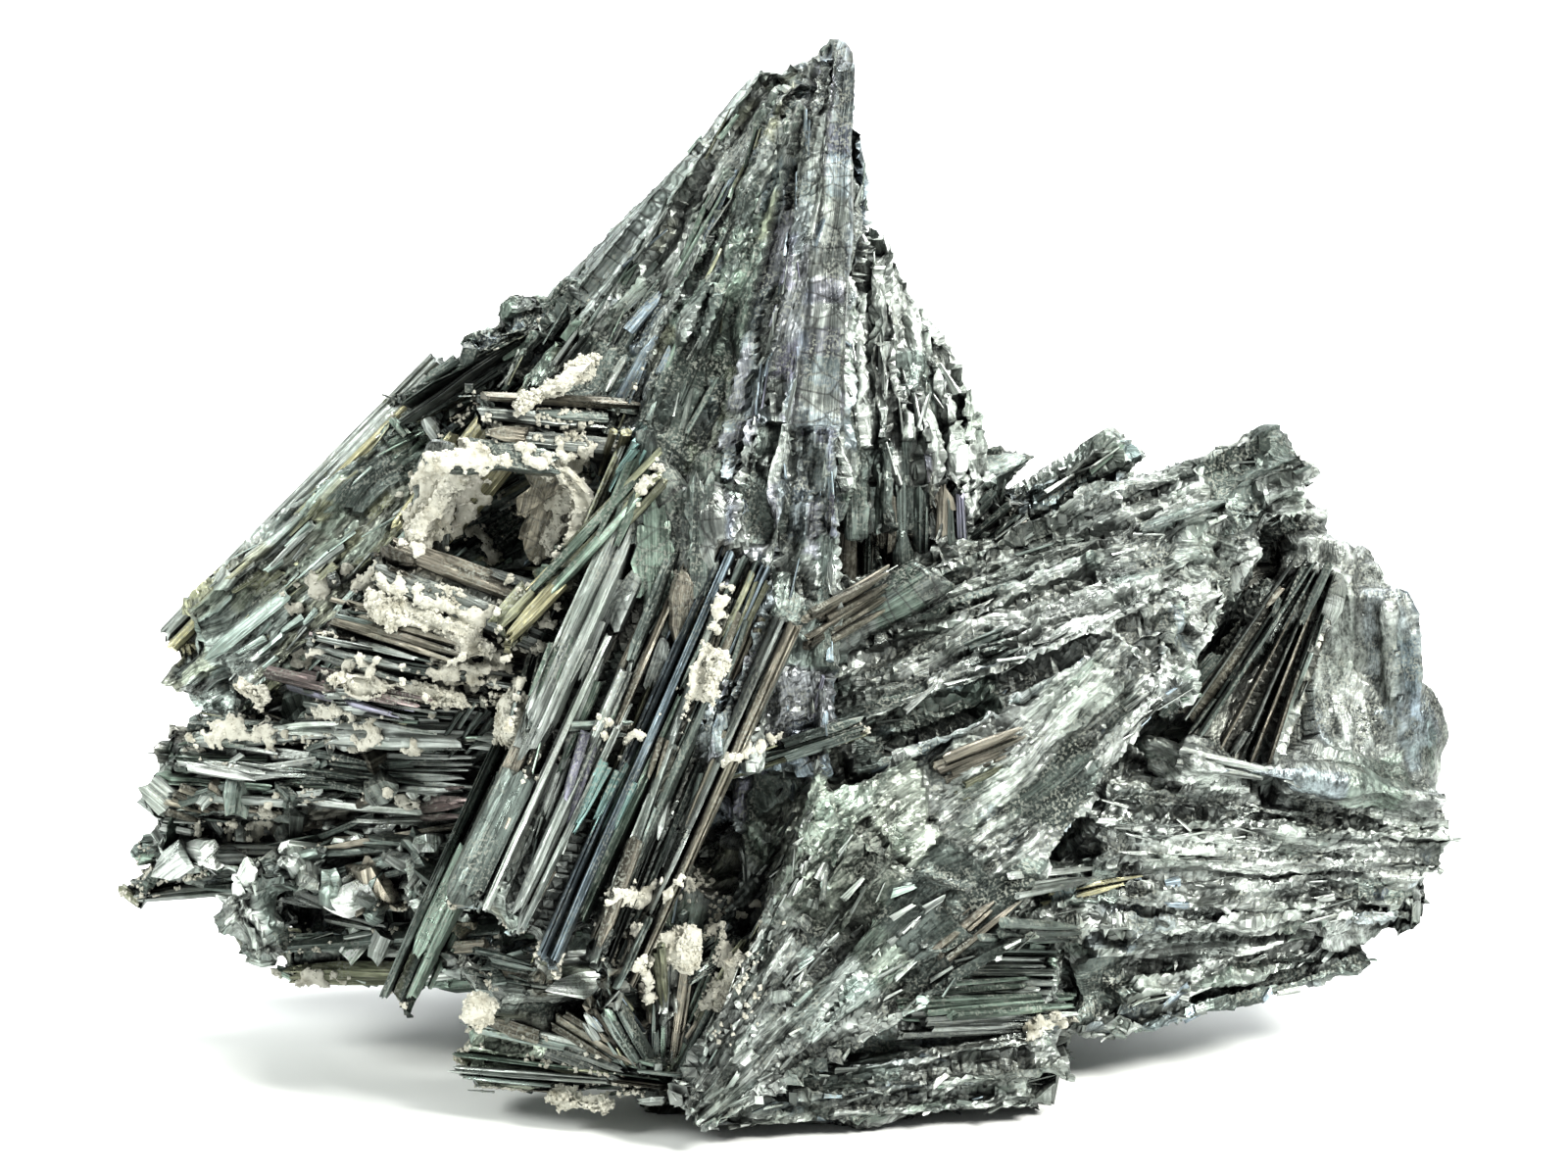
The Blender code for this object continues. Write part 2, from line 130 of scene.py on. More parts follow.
class Heap:  # shapes that become one object; strand runs along the crystals, tint holds colour and cracks
    def __init__(self):
        self.points, self.faces, self.strand, self.tint = [], [], [], []
        self.count = 0
        self.smooth = None

    def add(self, points, faces, strand=None, tint=None):
        points = points.reshape(-1, 3)
        strand = np.zeros((len(points), 2)) if strand is None else strand
        tint = np.ones((len(points), 3)) if tint is None else tint.reshape(len(points), -1)
        if tint.shape[1] == 3:
            tint = np.concatenate([tint, np.zeros((len(tint), 1))], axis=1)
        self.points.append(points)
        self.faces.append(faces.reshape(-1, 3) + self.count)
        self.strand.append(strand.reshape(-1, 2))
        self.tint.append(tint)
        self.count += len(points)

    def build(self, name, material, slot):  # one object that rides on the cluster
        points = np.concatenate(self.points)
        faces = np.concatenate(self.faces)
        points[:, 2] = np.maximum(points[:, 2], lowest)
        mesh = bpy.data.meshes.new(name)
        mesh.vertices.add(len(points))
        mesh.vertices.foreach_set("co", points.astype(np.float32).ravel())
        mesh.loops.add(faces.size)
        mesh.loops.foreach_set("vertex_index", faces.astype(np.int32).ravel())
        mesh.polygons.add(len(faces))
        mesh.polygons.foreach_set("loop_start", np.arange(0, faces.size, 3, dtype=np.int32))
        mesh.update(calc_edges=True)
        along = np.concatenate(self.strand)[faces.ravel()]
        mesh.uv_layers.new(name="strand").data.foreach_set("uv", along.astype(np.float32).ravel())
        tint = mesh.color_attributes.new("tint", "FLOAT_COLOR", "POINT")
        tint.data.foreach_set("color", np.concatenate(self.tint).astype(np.float32).ravel())
        mesh.shade_flat()
        if self.smooth is not None:
            mesh.polygons.foreach_set("use_smooth", self.smooth)
        mesh.materials.append(material)
        piece = linked(name, mesh)
        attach(piece, "root")
        if slot == "stibnite":
            solidParts.append((points, faces))
        print(name, len(faces), "triangles")
        return piece


def unit(rows):
    return rows / np.maximum(np.linalg.norm(rows, axis=-1, keepdims=True), 1e-12)


# edgeHighlight is a painted highlight along each blade's two long edges, partly standing for chipped edges
bladeWearAndShade = {  # shares of a blade's own size or brightness
    "ringShift": 0.35, "edgeShift": 0.04, "ringGroove": 0.25, "rootTear": 0.5, "mottle": (0.85, 1.15),
    "edgeHighlight": 1.4, "rootShade": (0.5, 1.2), "endShade": (0.7, 1.6),
}


def bladeSection(across):  # an outline about the blade: its left edge, its face, its right edge, its back
    if across < 3:
        return np.array([(-1, 0.05), (-0.35, 0.95), (0.75, 0.65), (1, -0.1), (0.05, -0.85)])
    face = [(x, 1 - 0.45 * abs(x) ** 3) for x in np.linspace(-0.86, 0.86, across)]
    return np.array([(-1, 0.05)] + face + [(1, -0.05), (0.62, -0.85), (-0.58, -0.9)])


def bladePoints(rng, section, start, stop, side, face, width, thick, look):  # ring by ring, then the two ends
    count, rings, edge = len(start), look["rings"], len(section)
    axis = stop - start
    length = np.linalg.norm(axis, axis=1)
    axis = axis / length[:, None]
    along = np.linspace(0, 1, rings)[None, :] + np.zeros((count, 1))
    if rings > 2:
        shift = bladeWearAndShade["ringShift"]
        along[:, 1:-1] += rng.uniform(-shift, shift, (count, rings - 2)) / rings
    broad = 0.5 * (width[:, :1] * (1 - along) + width[:, 1:] * along)
    deep = 0.5 * (thick[:, :1] * (1 - along) + thick[:, 1:] * along)
    broad[:, -1] *= look["nip"]
    deep[:, -1] *= look["nip"]
    x = section[:, 0] + rng.normal(0, bladeWearAndShade["edgeShift"], (count, 1, edge))
    y = section[:, 1] * (1 + rng.normal(0, look["groove"], (count, 1, edge)))
    y = y + rng.normal(0, bladeWearAndShade["ringGroove"] * look["groove"], (count, rings, edge))
    sway = rng.normal(0, look["sway"], (count, rings, 2))
    torn = np.zeros((count, rings, edge))
    torn[:, -1] = -look["torn"] * rng.random((count, edge)) * np.minimum(width[:, 1:], length[:, None])
    torn[:, 0] = bladeWearAndShade["rootTear"] * look["torn"] * rng.random((count, edge))
    torn[:, 0] *= np.minimum(width[:, :1], length[:, None])
    reach = (along * length[:, None])[:, :, None] + torn
    sideways = x * broad[:, :, None] + (sway[:, :, :1] * broad[:, :, None])
    outward = y * deep[:, :, None] + (sway[:, :, 1:] * deep[:, :, None])
    points = (start[:, None, None] + axis[:, None, None] * reach[..., None]
              + side[:, None, None] * sideways[..., None] + face[:, None, None] * outward[..., None])
    caps = np.stack([points[:, 0].mean(axis=1), points[:, -1].mean(axis=1)], axis=1)
    shift = rng.uniform(0, 1, (count, 1, 2))
    strand = np.stack([sideways, reach], axis=-1).reshape(count, -1, 2)
    ends = np.stack([strand[:, :edge].mean(axis=1), strand[:, -edge:].mean(axis=1)], axis=1)
    points = np.concatenate([points.reshape(count, -1, 3), caps], axis=1)
    return points, np.concatenate([strand, ends], axis=1) + shift


def tubeFaces(edge, rings):  # triangles between rings of points, and fans that close the two ends
    low = np.arange(edge)
    high = np.roll(low, -1)
    faces = []
    for ring in range(rings - 1):
        a, b = low + ring * edge, high + ring * edge
        faces += [np.stack([a, b, b + edge], axis=1), np.stack([a, b + edge, a + edge], axis=1)]
    last, end = (rings - 1) * edge, rings * edge
    faces.append(np.stack([high, low, np.full(edge, end)], axis=1))
    faces.append(np.stack([low + last, high + last, np.full(edge, end + 1)], axis=1))
    return np.concatenate(faces)


def addBlades(heap, rng, start, stop, side, face, width, thick, tint, look):
    count = len(start)
    if count == 0:
        return
    section = bladeSection(look["across"])
    edge, end = len(section), len(section) * look["rings"]
    points, strand = bladePoints(rng, section, start, stop, side, face, width, thick, look)
    faces = tubeFaces(edge, look["rings"])[None] + (np.arange(count) * points.shape[1])[:, None, None]
    shade = tint[:, None] * rng.uniform(*bladeWearAndShade["mottle"], (count, points.shape[1], 1))
    # painted highlight: the two long edges of each blade are made lighter, partly standing for chipped edges
    for wearAndHighlight in (0, edge - 2):
        shade[:, wearAndHighlight:end:edge] *= bladeWearAndShade["edgeHighlight"]
    shade[:, :edge] *= rng.uniform(*bladeWearAndShade["rootShade"], (count, 1, 1))
    shade[:, end - edge:end] *= rng.uniform(*bladeWearAndShade["endShade"], (count, 1, 1))
    heap.add(points, faces, strand, shade)


# Bundles hold the same values as the solids: a sheaf from root to tip whose faces look along facing.

front = (0, -1, 0.25)
bundleTable = {  # root, tip, facing, root width, tip width, thickness, crystals, ragged, in millimetres
    "spire_face": ((-3, -20, 36), (5, 3, 105), (0.2, -1, 0.35), 15, 4, 10, 4, 2),
    "spire_edge": ((4, -8, 62), (6, 6, 101), (1, -0.6, 0.2), 6, 3, 7, 2, 5),
    "spire_flank": ((-18, -3, 66), (2, 4, 101), (-0.5, -1, 0.4), 25, 5, 12, 6, 4),
    "back_slab": ((-27, 15, 68), (2, 9, 100), (-0.6, -0.4, 0.6), 9, 6, 7, 2, 2),
    "upper_left": ((-11, 4, 78), (-39, 3, 61), (-0.3, -1, 0.4), 10, 15, 12, 5, 6),
    "left_long": ((-34, 7, 71), (-64, 6, 41), (-0.6, -0.8, 0.5), 4, 4, 4, 1, 0),
    "left_slab": ((-33, 4, 64), (-63, 3, 38), (-0.2, -1, 0.3), 13, 13, 6, 2, 4),
    "lintel": ((-15, -6, 67), (-32, -13, 70), front, 7, 6, 7, 2, 2),
    "pocket_wall": ((-26, -4, 69), (-38, -8, 55), (0.1, -1, 0.3), 7, 7, 3, 1, 0),
    "sill": ((-18, -14, 47), (-44, -12, 57), (0, -0.9, 0.4), 7, 6, 6, 2, 3),
    "pocket_inner": ((-22, -7, 48), (-34, -3, 61), front, 2, 8, 2.4, 3, 4),
    "fan_mid": ((-24, -14, 43), (-49, -12, 47), front, 6, 11, 6, 4, 4),
    "fan_low": ((-24, -13, 39), (-50, -10, 39), front, 6, 8, 6, 3, 4),
    "left_high": ((-24, -10, 34), (-68, 0, 31), front, 8, 11, 9, 3, 6),
    "left_low": ((-26, -8, 27), (-70, 3, 23), front, 8, 9, 9, 3, 7),
    "left_tail": ((-42, 6, 20), (-71, 8, 17), front, 7, 8, 8, 2, 3),
    "left_stub": ((-50, 2, 17), (-54, -14, 23), (-0.3, 0.1, 1), 7, 7, 7, 1, 0),
    "left_lumps": ((-36, 0, 17), (-44, -15, 25), (-0.2, -0.1, 1), 14, 14, 9, 2, 4),
    "left_underside": ((-28, -6, 13), (-57, 0, 10), (0, -0.8, -0.5), 8, 7, 5, 2, 5),
    "front_edge": ((-14, -12, 63), (-39, -22, 11), (-0.4, -1, 0.1), 5, 4, 5, 1, 0),
    "front_blades": ((-9, -14, 58), (-27, -29, 18), (-0.1, -1, 0.1), 17, 17, 9, 5, 5),
    "front_right": ((-3, -18, 52), (-19, -31, 14), (0.1, -1, 0.1), 9, 4, 8, 2, 5),
    "front_plates": ((-9, -20, 40), (-12, -15, 66), (-0.1, -1, 0.3), 10, 8, 6, 2, 6),
    "bright_prism": ((-18, -11, 58), (-14, -12, 69), front, 4, 3, 4, 1, 0),
    "pocket_prism": ((-16, -12, 61), (-29, -20, 48), (-0.3, -1, 0.3), 5, 4, 5, 1, 0),
    "crossing_needle": ((-11, -23, 35), (9, -21, 41), front, 2, 2, 3, 1, 0),
    "foot_left": ((-11, -25, 6), (-34, -18, 7), (-0.1, -1, 0.2), 5, 11, 8, 3, 3),
    "foot_upper_left": ((-13, -24, 6), (-19, -29, 17), (-0.4, -1, 0), 3, 5, 5, 2, 2),
    "foot_upper": ((-12, -24, 6), (-11, -24, 21), front, 3, 6, 4, 2, 3),
    "foot_upper_right": ((-11, -25, 5), (-1, -24, 23), (0.2, -1, 0.2), 3, 9, 4, 2, 3),
    "foot_stub": ((-16, -18, 13), (-33, -25, 15), (0, -0.8, 0.5), 8, 7, 8, 1, 0),
    "fan_sweep": ((-9, -28, 3), (15, -24, 30), (0.1, -1, 0.4), 5, 28, 9, 6, 4),
    "fan_ridge": ((-9, -26, 3), (38, -15, 48), (0.2, -1, 0.4), 5, 10, 9, 2, 3),
    "fan_ledge": ((-9, -25, 3), (30, -17, 5), (0, -1, 0.2), 5, 9, 10, 3, 4),
    "right_prisms": ((4, -10, 11), (31, -17, 13), (0, -0.9, 0.4), 8, 9, 6, 4, 4),
    "arm_crest": ((-1, -4, 43), (54, 3, 62), (0, -1, 0.5), 9, 10, 9, 3, 4),
    "arm_middle": ((0, -9, 38), (48, -4, 55), (0, -1, 0.4), 9, 12, 9, 4, 5),
    "arm_low": ((3, -14, 33), (41, -13, 48), (0, -1, 0.3), 9, 12, 8, 4, 5),
    "arm_plate": ((0, -11, 44), (16, -9, 54), front, 6, 5, 3, 1, 0),
    "arm_back": ((20, 8, 50), (37, 10, 61), (0, -1, 0.3), 8, 7, 9, 2, 3),
    "lobe_rind": ((60, 4, 12), (57, 6, 53), (0.3, -1, 0.1), 14, 11, 15, 4, 5),
    "lobe_needles": ((54, -1, 52), (43, -9, 33), (0, -1, 0.1), 6, 16, 3, 4, 2),
    "lobe_ledge": ((66, 0, 27), (36, -12, 35), (0, -0.9, 0.5), 4, 4, 8, 1, 0),
    "lobe_band": ((67, 3, 22), (28, -13, 29), front, 8, 9, 10, 3, 4),
    "lobe_low": ((65, 3, 16), (22, -13, 20), front, 7, 8, 10, 3, 4),
    "lobe_bottom": ((59, 4, 12), (28, -11, 8), (0.1, -1, -0.1), 6, 7, 10, 2, 5),
    "shoulder_high": ((8, 0, 55), (7, 5, 88), (0.4, -1, 0.2), 9, 6, 12, 3, 5),
    "shoulder_low": ((16, 3, 52), (13, 7, 75), (0.5, -1, 0.2), 9, 8, 12, 3, 6),
    "shoulder_block": ((13, 5, 54), (22, 5, 65), (0.1, -1, 0.2), 10, 9, 10, 1, 0),
    "saddle_fan": ((14, 2, 49), (25, 1, 59), front, 4, 8, 5, 3, 3),
    "recess": ((11, -1, 42), (11, -1, 64), (0.1, -1, 0), 17, 14, 5, 4, 3),
    "back_spire": ((1, 25, 24), (3, 9, 99), (-0.1, 1, 0.2), 26, 5, 11, 4, 5),
    "back_flank": ((-4, 15, 84), (-42, 14, 53), (-0.4, 1, 0.4), 10, 18, 7, 3, 5),
    "back_left_high": ((-4, 22, 38), (-52, 15, 50), (-0.2, 1, 0.3), 18, 15, 11, 3, 7),
    "back_left_low": ((-4, 24, 18), (-62, 16, 27), (-0.2, 1, 0.1), 18, 17, 12, 3, 7),
    "back_right_high": ((4, 22, 36), (50, 15, 50), (0.2, 1, 0.3), 20, 16, 11, 3, 7),
    "back_right_low": ((6, 24, 16), (60, 16, 25), (0.2, 1, 0.1), 18, 20, 12, 3, 6),
    "back_foot": ((2, 20, 26), (-4, 32, 4), (0, 1, 0.3), 20, 34, 9, 3, 4),
}


solidDraws = {  # shares of a crystal, as in the solids; ridges give place and height, for two of them
    "width": (0.7, 1.3), "valley": (0.25, 0.6), "ridges": ((0.15, 0.35), (0.7, 1.2), (0.6, 0.85), (0.7, 1.2)),
    "taper": (0.75, 0.95), "tilt": (-0.5, 0.5),
}


class Sheaf:  # one bundle: where it lies, and its crystals
    def __init__(self, name):
        root, tip, facing, rootWidth, tipWidth, thickness, count, ragged = bundleTable[name]
        self.name, self.count = name, count
        self.root, self.tip = np.array(root) * mm, np.array(tip) * mm
        self.length = np.linalg.norm(self.tip - self.root)
        self.axis = (self.tip - self.root) / self.length
        self.side = unit(np.cross(self.axis, facing))
        self.face = np.cross(self.side, self.axis)
        self.rootWidth, self.tipWidth, self.half = rootWidth * mm, tipWidth * mm, 0.5 * thickness * mm
        rng = random.Random(name)  # the same draws as the solids take, so crystals lie where their solids do
        widths = [rng.uniform(*solidDraws["width"]) for _ in range(count)]
        self.grooves, self.heights, at = [], [], 0.0
        for i, width in enumerate(widths):
            self.grooves.append(at / sum(widths) - 0.5)
            if i:
                rng.uniform(*solidDraws["valley"])
            ridges = [rng.uniform(*limits) for limits in solidDraws["ridges"]]
            self.heights.append((ridges[1], ridges[3]))
            at += width
        self.grooves.append(0.5)
        self.taper = rng.uniform(*solidDraws["taper"])
        self.ends = []
        for _ in range(count):
            tilt = rng.uniform(*solidDraws["tilt"]) * self.tipWidth / count / self.length
            drop = rng.uniform(0, ragged) * mm / self.length + abs(tilt)
            self.ends.append(1 - drop)

    def place(self, across, through, along):
        across, through, along = (np.asarray(value, float)[..., None] for value in (across, through, along))
        low = self.root + self.side * across * self.rootWidth + self.face * through * self.half
        high = self.tip + self.side * across * self.tipWidth + self.face * through * self.half * self.taper
        return low * (1 - along) + high * along

    def widthAt(self, along):
        return self.rootWidth * (1 - along) + self.tipWidth * along

    def halfAt(self, along):
        return self.half * (1 - along + self.taper * along)


sheaves = {name: Sheaf(name) for name in bundleTable}

# How each kind of growth looks. Colours are plain metal colours, picked in these shares.

tones = {
    "graphite": (0.083, 0.1, 0.092), "steel": (0.211, 0.23, 0.218), "silver": (0.47, 0.502, 0.475),
    "blue": (0.162, 0.2, 0.228), "green": (0.148, 0.195, 0.162), "olive": (0.2, 0.206, 0.142),
    "brown": (0.15, 0.137, 0.111), "violet": (0.172, 0.17, 0.216), "teal": (0.132, 0.21, 0.2),
    "rose": (0.235, 0.185, 0.18), "gold": (0.3, 0.283, 0.175), "slab": (0.285, 0.348, 0.32),
    "tan": (0.205, 0.188, 0.147),
}
toneNames = list(tones)
toneTable = np.array([tones[name] for name in toneNames])
# Sizes are in millimetres; split says how many blades a crystal is made of, and overlay how many lie on it.
bladeless = {"split": (0, 0), "overlay": 0, "windows": 0, "cracks": 0, "round": 0}  # what isn't said below
growths = {
    "prism": {
        "split": (1, 2), "breaks": 1, "fill": (0.8, 0.98), "depth": 0.2, "overlay": 4, "broadest": 9,
        "groove": 0.09, "sway": 0.02, "swing": 0.015, "inset": 0.9, "lumps": 0.2, "ridge": 0.2,
        "plate": (4, 4, 20), "tread": 0.3, "cell": (2.2, 2.2, 16), "step": 0.5, "chip": (0.8, 0.8, 9),
        "chipStep": 0.2, "grit": 0.04, "wave": 0.3, "splinters": 0.15, "splinterTilt": 0.1, "weave": 1,
        "tones": {"graphite": 4, "steel": 5, "silver": 0.8, "brown": 2, "olive": 1.2, "green": 1.8,
                  "blue": 0.8, "violet": 0.15, "rose": 0.1}},
    "fibrous": {
        "split": (2, 3), "breaks": 3, "fill": (0.7, 1.1), "depth": 0.35, "overlay": 5, "broadest": 9,
        "groove": 0.12, "sway": 0.05, "swing": 0.06, "inset": 0.6, "lumps": 0.6, "ridge": 0.4,
        "plate": (4, 4, 14), "tread": 0.8, "cell": (1.4, 1.4, 9), "step": 0.9, "chip": (0.65, 0.65, 4),
        "chipStep": 0.35, "grit": 0.07, "wave": 0.8, "windows": 0.1, "splinters": 0.5,
        "splinterTilt": 0.18, "weave": 1.5,
        "tones": {"graphite": 4, "steel": 5, "green": 2, "olive": 1.5, "silver": 1.5, "blue": 1, "brown": 1}},
    "bark": {
        "overlay": 2, "broadest": 1.6, "groove": 0.1, "sway": 0.04, "swing": 0.04, "inset": 0.3,
        "lumps": 0.6, "ridge": 0.7, "plate": (3.4, 3.4, 13), "tread": 0.8, "cell": (1.3, 1.3, 6),
        "step": 0.6, "chip": (0.6, 0.6, 2.5), "chipStep": 0.3, "grit": 0.07, "wave": 1.0, "windows": 0.12,
        "cracks": 0.1, "splinters": 0.6, "splinterTilt": 0.12, "weave": 2.5,
        "tones": {"steel": 5, "graphite": 5, "green": 2.5, "olive": 1.5, "blue": 1.2, "silver": 0.6}},
    "sugary": {
        "inset": 0.4, "lumps": 1.1, "ridge": 1.3, "plate": (4.5, 4.5, 13), "tread": 1.1,
        "cell": (1.5, 1.5, 6), "step": 0.45, "chip": (0.7, 0.7, 1.7), "chipStep": 0.3, "grit": 0.1,
        "wave": 0.8, "windows": 0.22, "splinters": 0.3, "splinterTilt": 0.22, "weave": 4,
        "tones": {"steel": 6, "silver": 5, "graphite": 1, "blue": 1.2, "green": 0.8}},
    "rind": {
        "inset": 0.1, "lumps": 1.2, "ridge": 0.6, "plate": (6, 6, 12), "tread": 0.4, "cell": (2.5, 2.5, 7),
        "step": 0.2, "chip": (0.8, 0.8, 1.6), "chipStep": 0.15, "grit": 0.06, "wave": 0.6, "cracks": 0.1,
        "round": 1, "splinters": 0.03, "splinterTilt": 0.2, "weave": 14,
        "tones": {"steel": 7, "silver": 1.5, "green": 1, "blue": 1}},
    "smooth": {
        "inset": 0.15, "lumps": 0.2, "ridge": 0.08, "plate": (7, 7, 30), "tread": 0.15,
        "cell": (3.5, 3.5, 2.6), "step": 0.14, "chip": (1.4, 1.4, 1.1), "chipStep": 0.1, "grit": 0.03,
        "wave": 0.4, "cracks": 1.0, "round": 1, "splinters": 0.03, "splinterTilt": 0.05, "weave": 1,
        "tones": {"blue": 3, "steel": 5, "silver": 1, "green": 1}},
}
for name, growth in growths.items():
    growths[name] = {**bladeless, **growth}
growths["broken"] = dict(growths["fibrous"], split=(1, 3), fill=(0.6, 1.05), swing=0.24, sway=0.1, overlay=8,
                         tread=1.9, plate=(4.5, 4.5, 8), cell=(1.8, 1.8, 5), lumps=0.9, depth=0.5, inset=1.3)
growths["needles"] = dict(growths["prism"], split=(2, 4), fill=(0.25, 0.55), swing=0.05, depth=0.4, overlay=7,
                          inset=2.0, groove=0.05)
growths["dusty"] = dict(growths["prism"], split=(1, 3), swing=0.03, overlay=6, depth=0.3)
growths["sparry"] = dict(growths["sugary"], ridge=0.7, lumps=0.7, windows=0.1, cell=(0.9, 0.9, 4), step=0.35,
                         chip=(0.55, 0.55, 1.6), splinters=0.4, tread=0.8, wave=0.4)
growthNames = list(growths)
toneShares = {  # bundles whose colours differ from the rest of their kind
    "spire_face": {"steel": 5, "blue": 3, "violet": 1.5}, "back_slab": {"slab": 1},
    "shoulder_high": {"silver": 8, "steel": 1}, "shoulder_low": {"silver": 8, "steel": 1},
    "shoulder_block": {"graphite": 3, "steel": 2}, "recess": {"graphite": 8, "brown": 3, "violet": 0.5},
    "saddle_fan": {"graphite": 4, "brown": 2, "steel": 1},
    "upper_left": {"graphite": 7, "steel": 2, "green": 2, "blue": 1, "olive": 1, "silver": 0.2},
    "left_long": {"olive": 3, "steel": 3, "gold": 2}, "left_slab": {"olive": 2, "slab": 3, "steel": 3},
    "lintel": {"graphite": 5, "steel": 2, "brown": 1}, "pocket_wall": {"gold": 2, "steel": 1},
    "sill": {"steel": 3, "brown": 3, "graphite": 2},
    "fan_mid": {"graphite": 5, "steel": 3, "brown": 3, "rose": 0.6},
    "left_high": {"graphite": 4, "steel": 6, "silver": 2.2, "brown": 1.5, "green": 1.5},
    "left_low": {"graphite": 4, "steel": 5, "silver": 2.2, "brown": 2, "green": 1},
    "left_lumps": {"graphite": 4, "steel": 3, "silver": 2, "brown": 1},
    "left_stub": {"graphite": 2, "silver": 2},
    "front_edge": {"graphite": 2, "green": 2, "olive": 1},
    "front_blades": {"graphite": 3, "steel": 8, "brown": 2, "green": 3, "silver": 0.5, "olive": 1.2,
                     "blue": 1.2},
    "front_right": {"graphite": 3, "brown": 3, "steel": 3},
    "front_plates": {"steel": 4, "green": 2, "graphite": 2},
    "bright_prism": {"teal": 4, "steel": 1, "silver": 1}, "pocket_prism": {"olive": 3, "green": 2, "gold": 1},
    "crossing_needle": {"graphite": 4, "olive": 2},
    "fan_sweep": {"silver": 2.4, "steel": 7, "graphite": 0.6, "slab": 1.2},
    "right_prisms": {"graphite": 4, "steel": 4, "green": 1.5},
    "arm_crest": {"steel": 5, "silver": 2.5, "graphite": 2},
    "arm_middle": {"steel": 5, "silver": 2.5, "graphite": 2},
    "arm_plate": {"graphite": 3, "green": 2, "steel": 2},
    "lobe_needles": {"graphite": 5, "steel": 4, "brown": 1, "olive": 0.6},
    "lobe_band": {"steel": 5, "silver": 3, "graphite": 1},
}
bundleShades = {  # how much lighter or darker than its tones a bundle is
    "spire_flank": 0.83, "spire_edge": 1.35, "shoulder_high": 1.3, "shoulder_low": 1.3, "left_slab": 1.3,
    "left_long": 1.1, "upper_left": 0.8, "front_blades": 1.25, "front_edge": 1.1, "left_lumps": 1.6,
    "fan_sweep": 1.1, "arm_crest": 0.9, "arm_middle": 0.9, "right_prisms": 1.5, "foot_left": 1.4,
    "foot_upper_left": 1.35, "foot_upper": 1.35, "foot_upper_right": 1.35, "foot_stub": 1.25, "recess": 0.92,
}

regions = {
    "spire": {"smooth": ["spire_face", "back_slab"], "bark": ["spire_flank"], "fibrous": ["upper_left"],
              "sugary": ["spire_edge", "shoulder_high", "shoulder_low", "shoulder_block"],
              "prism": ["recess", "saddle_fan"]},
    "left": {"broken": ["left_high", "left_low", "left_tail", "left_underside", "left_lumps", "left_stub"],
             "bark": ["left_slab"], "dusty": ["fan_mid", "fan_low"],
             "prism": ["left_long", "lintel", "pocket_wall", "sill", "pocket_inner"]},
    "front": {"dusty": ["front_edge", "front_blades", "front_right", "bright_prism", "pocket_prism",
                        "crossing_needle", "foot_left", "foot_upper_left", "foot_upper", "foot_upper_right",
                        "foot_stub"],
              "smooth": ["front_plates"]},
    "right": {"sparry": ["fan_sweep", "fan_ridge", "fan_ledge", "lobe_band"],
              "sugary": ["arm_crest", "arm_middle", "arm_low", "arm_back", "lobe_low", "lobe_bottom"],
              "rind": ["lobe_rind", "lobe_ledge"], "prism": ["right_prisms"], "needles": ["lobe_needles"],
              "smooth": ["arm_plate"]},
    "back": {"bark": ["back_spire", "back_flank", "back_left_high", "back_left_low"],
             "sugary": ["back_right_high", "back_right_low", "back_foot"]},
}
growthOf = {name: growth for kinds in regions.values() for growth, names in kinds.items() for name in names}
regionNames = list(regions)
regionOf = {name: region for region, kinds in regions.items() for names in kinds.values() for name in names}
sheafNames = list(sheaves)

# Noise, made from whole numbers that are stirred, so that it is the same in every run.


def stirred(cells, seed):  # one number from 0 to 1 for each row of whole numbers
    key = (cells * np.array([73856093, 19349663, 83492791][:cells.shape[1]])).sum(axis=1) + seed * 2654435761
    key = (key ^ (key >> 15)) * 2246822519 & 0xffffffff
    key = (key ^ (key >> 13)) * 3266489917 & 0xffffffff
    return ((key ^ (key >> 16)) & 0xffffff) / float(0xffffff)


def softNoise(places, scale, seed):  # from -1 to 1
    spot = places / scale
    cell = np.floor(spot).astype(np.int64)
    part = spot - cell
    part = part * part * (3 - 2 * part)
    total = np.zeros(len(places))
    for corner in range(8):
        offset = np.array([corner & 1, corner >> 1 & 1, corner >> 2 & 1])
        weight = np.prod(np.where(offset, part, 1 - part), axis=1)
        total += weight * (stirred(cell + offset, seed) * 2 - 1)
    return total


def layered(places, layers):  # layers of soft noise: how strong, scale, seed
    return sum(share * softNoise(places, scale, seed) for share, scale, seed in layers)


def brickCells(local, size, seed):  # bricks of crystal whose ends don't line up; local is in millimetres
    rows = np.floor(local[:, :2] / size[:, :2]).astype(np.int64)
    shift = stirred(rows, seed)
    course = np.floor(local[:, 2] / size[:, 2] + shift * 7).astype(np.int64)
    return np.concatenate([rows, course[:, None]], axis=1)


def inBundle(which, name):
    return which == sheafNames.index(name)


def perKind(kinds, key):  # for each number of a kind, what that kind says
    return np.array([growths[growth][key] for growth in growthNames], float)[kinds]


def tonesIn(shares, draw):  # a tone for each number from 0 to 1
    shares = np.array([shares.get(name, 0) for name in toneNames], float)
    return toneTable[np.searchsorted(np.cumsum(shares) / shares.sum(), draw * 0.9999)]


def toneFor(kinds, which, draw):  # the same, in the shares of each place's kind or bundle
    colours = np.zeros((len(draw), 3))
    for order, growth in enumerate(growthNames):
        here = kinds == order
        colours[here] = tonesIn(growths[growth]["tones"], draw[here])
    for name, shares in toneShares.items():
        here = inBundle(which, name)
        colours[here] = tonesIn(shares, draw[here])
    for name, shade in bundleShades.items():
        colours[inBundle(which, name)] *= shade
    return colours


# Where each point lies among the bundles.

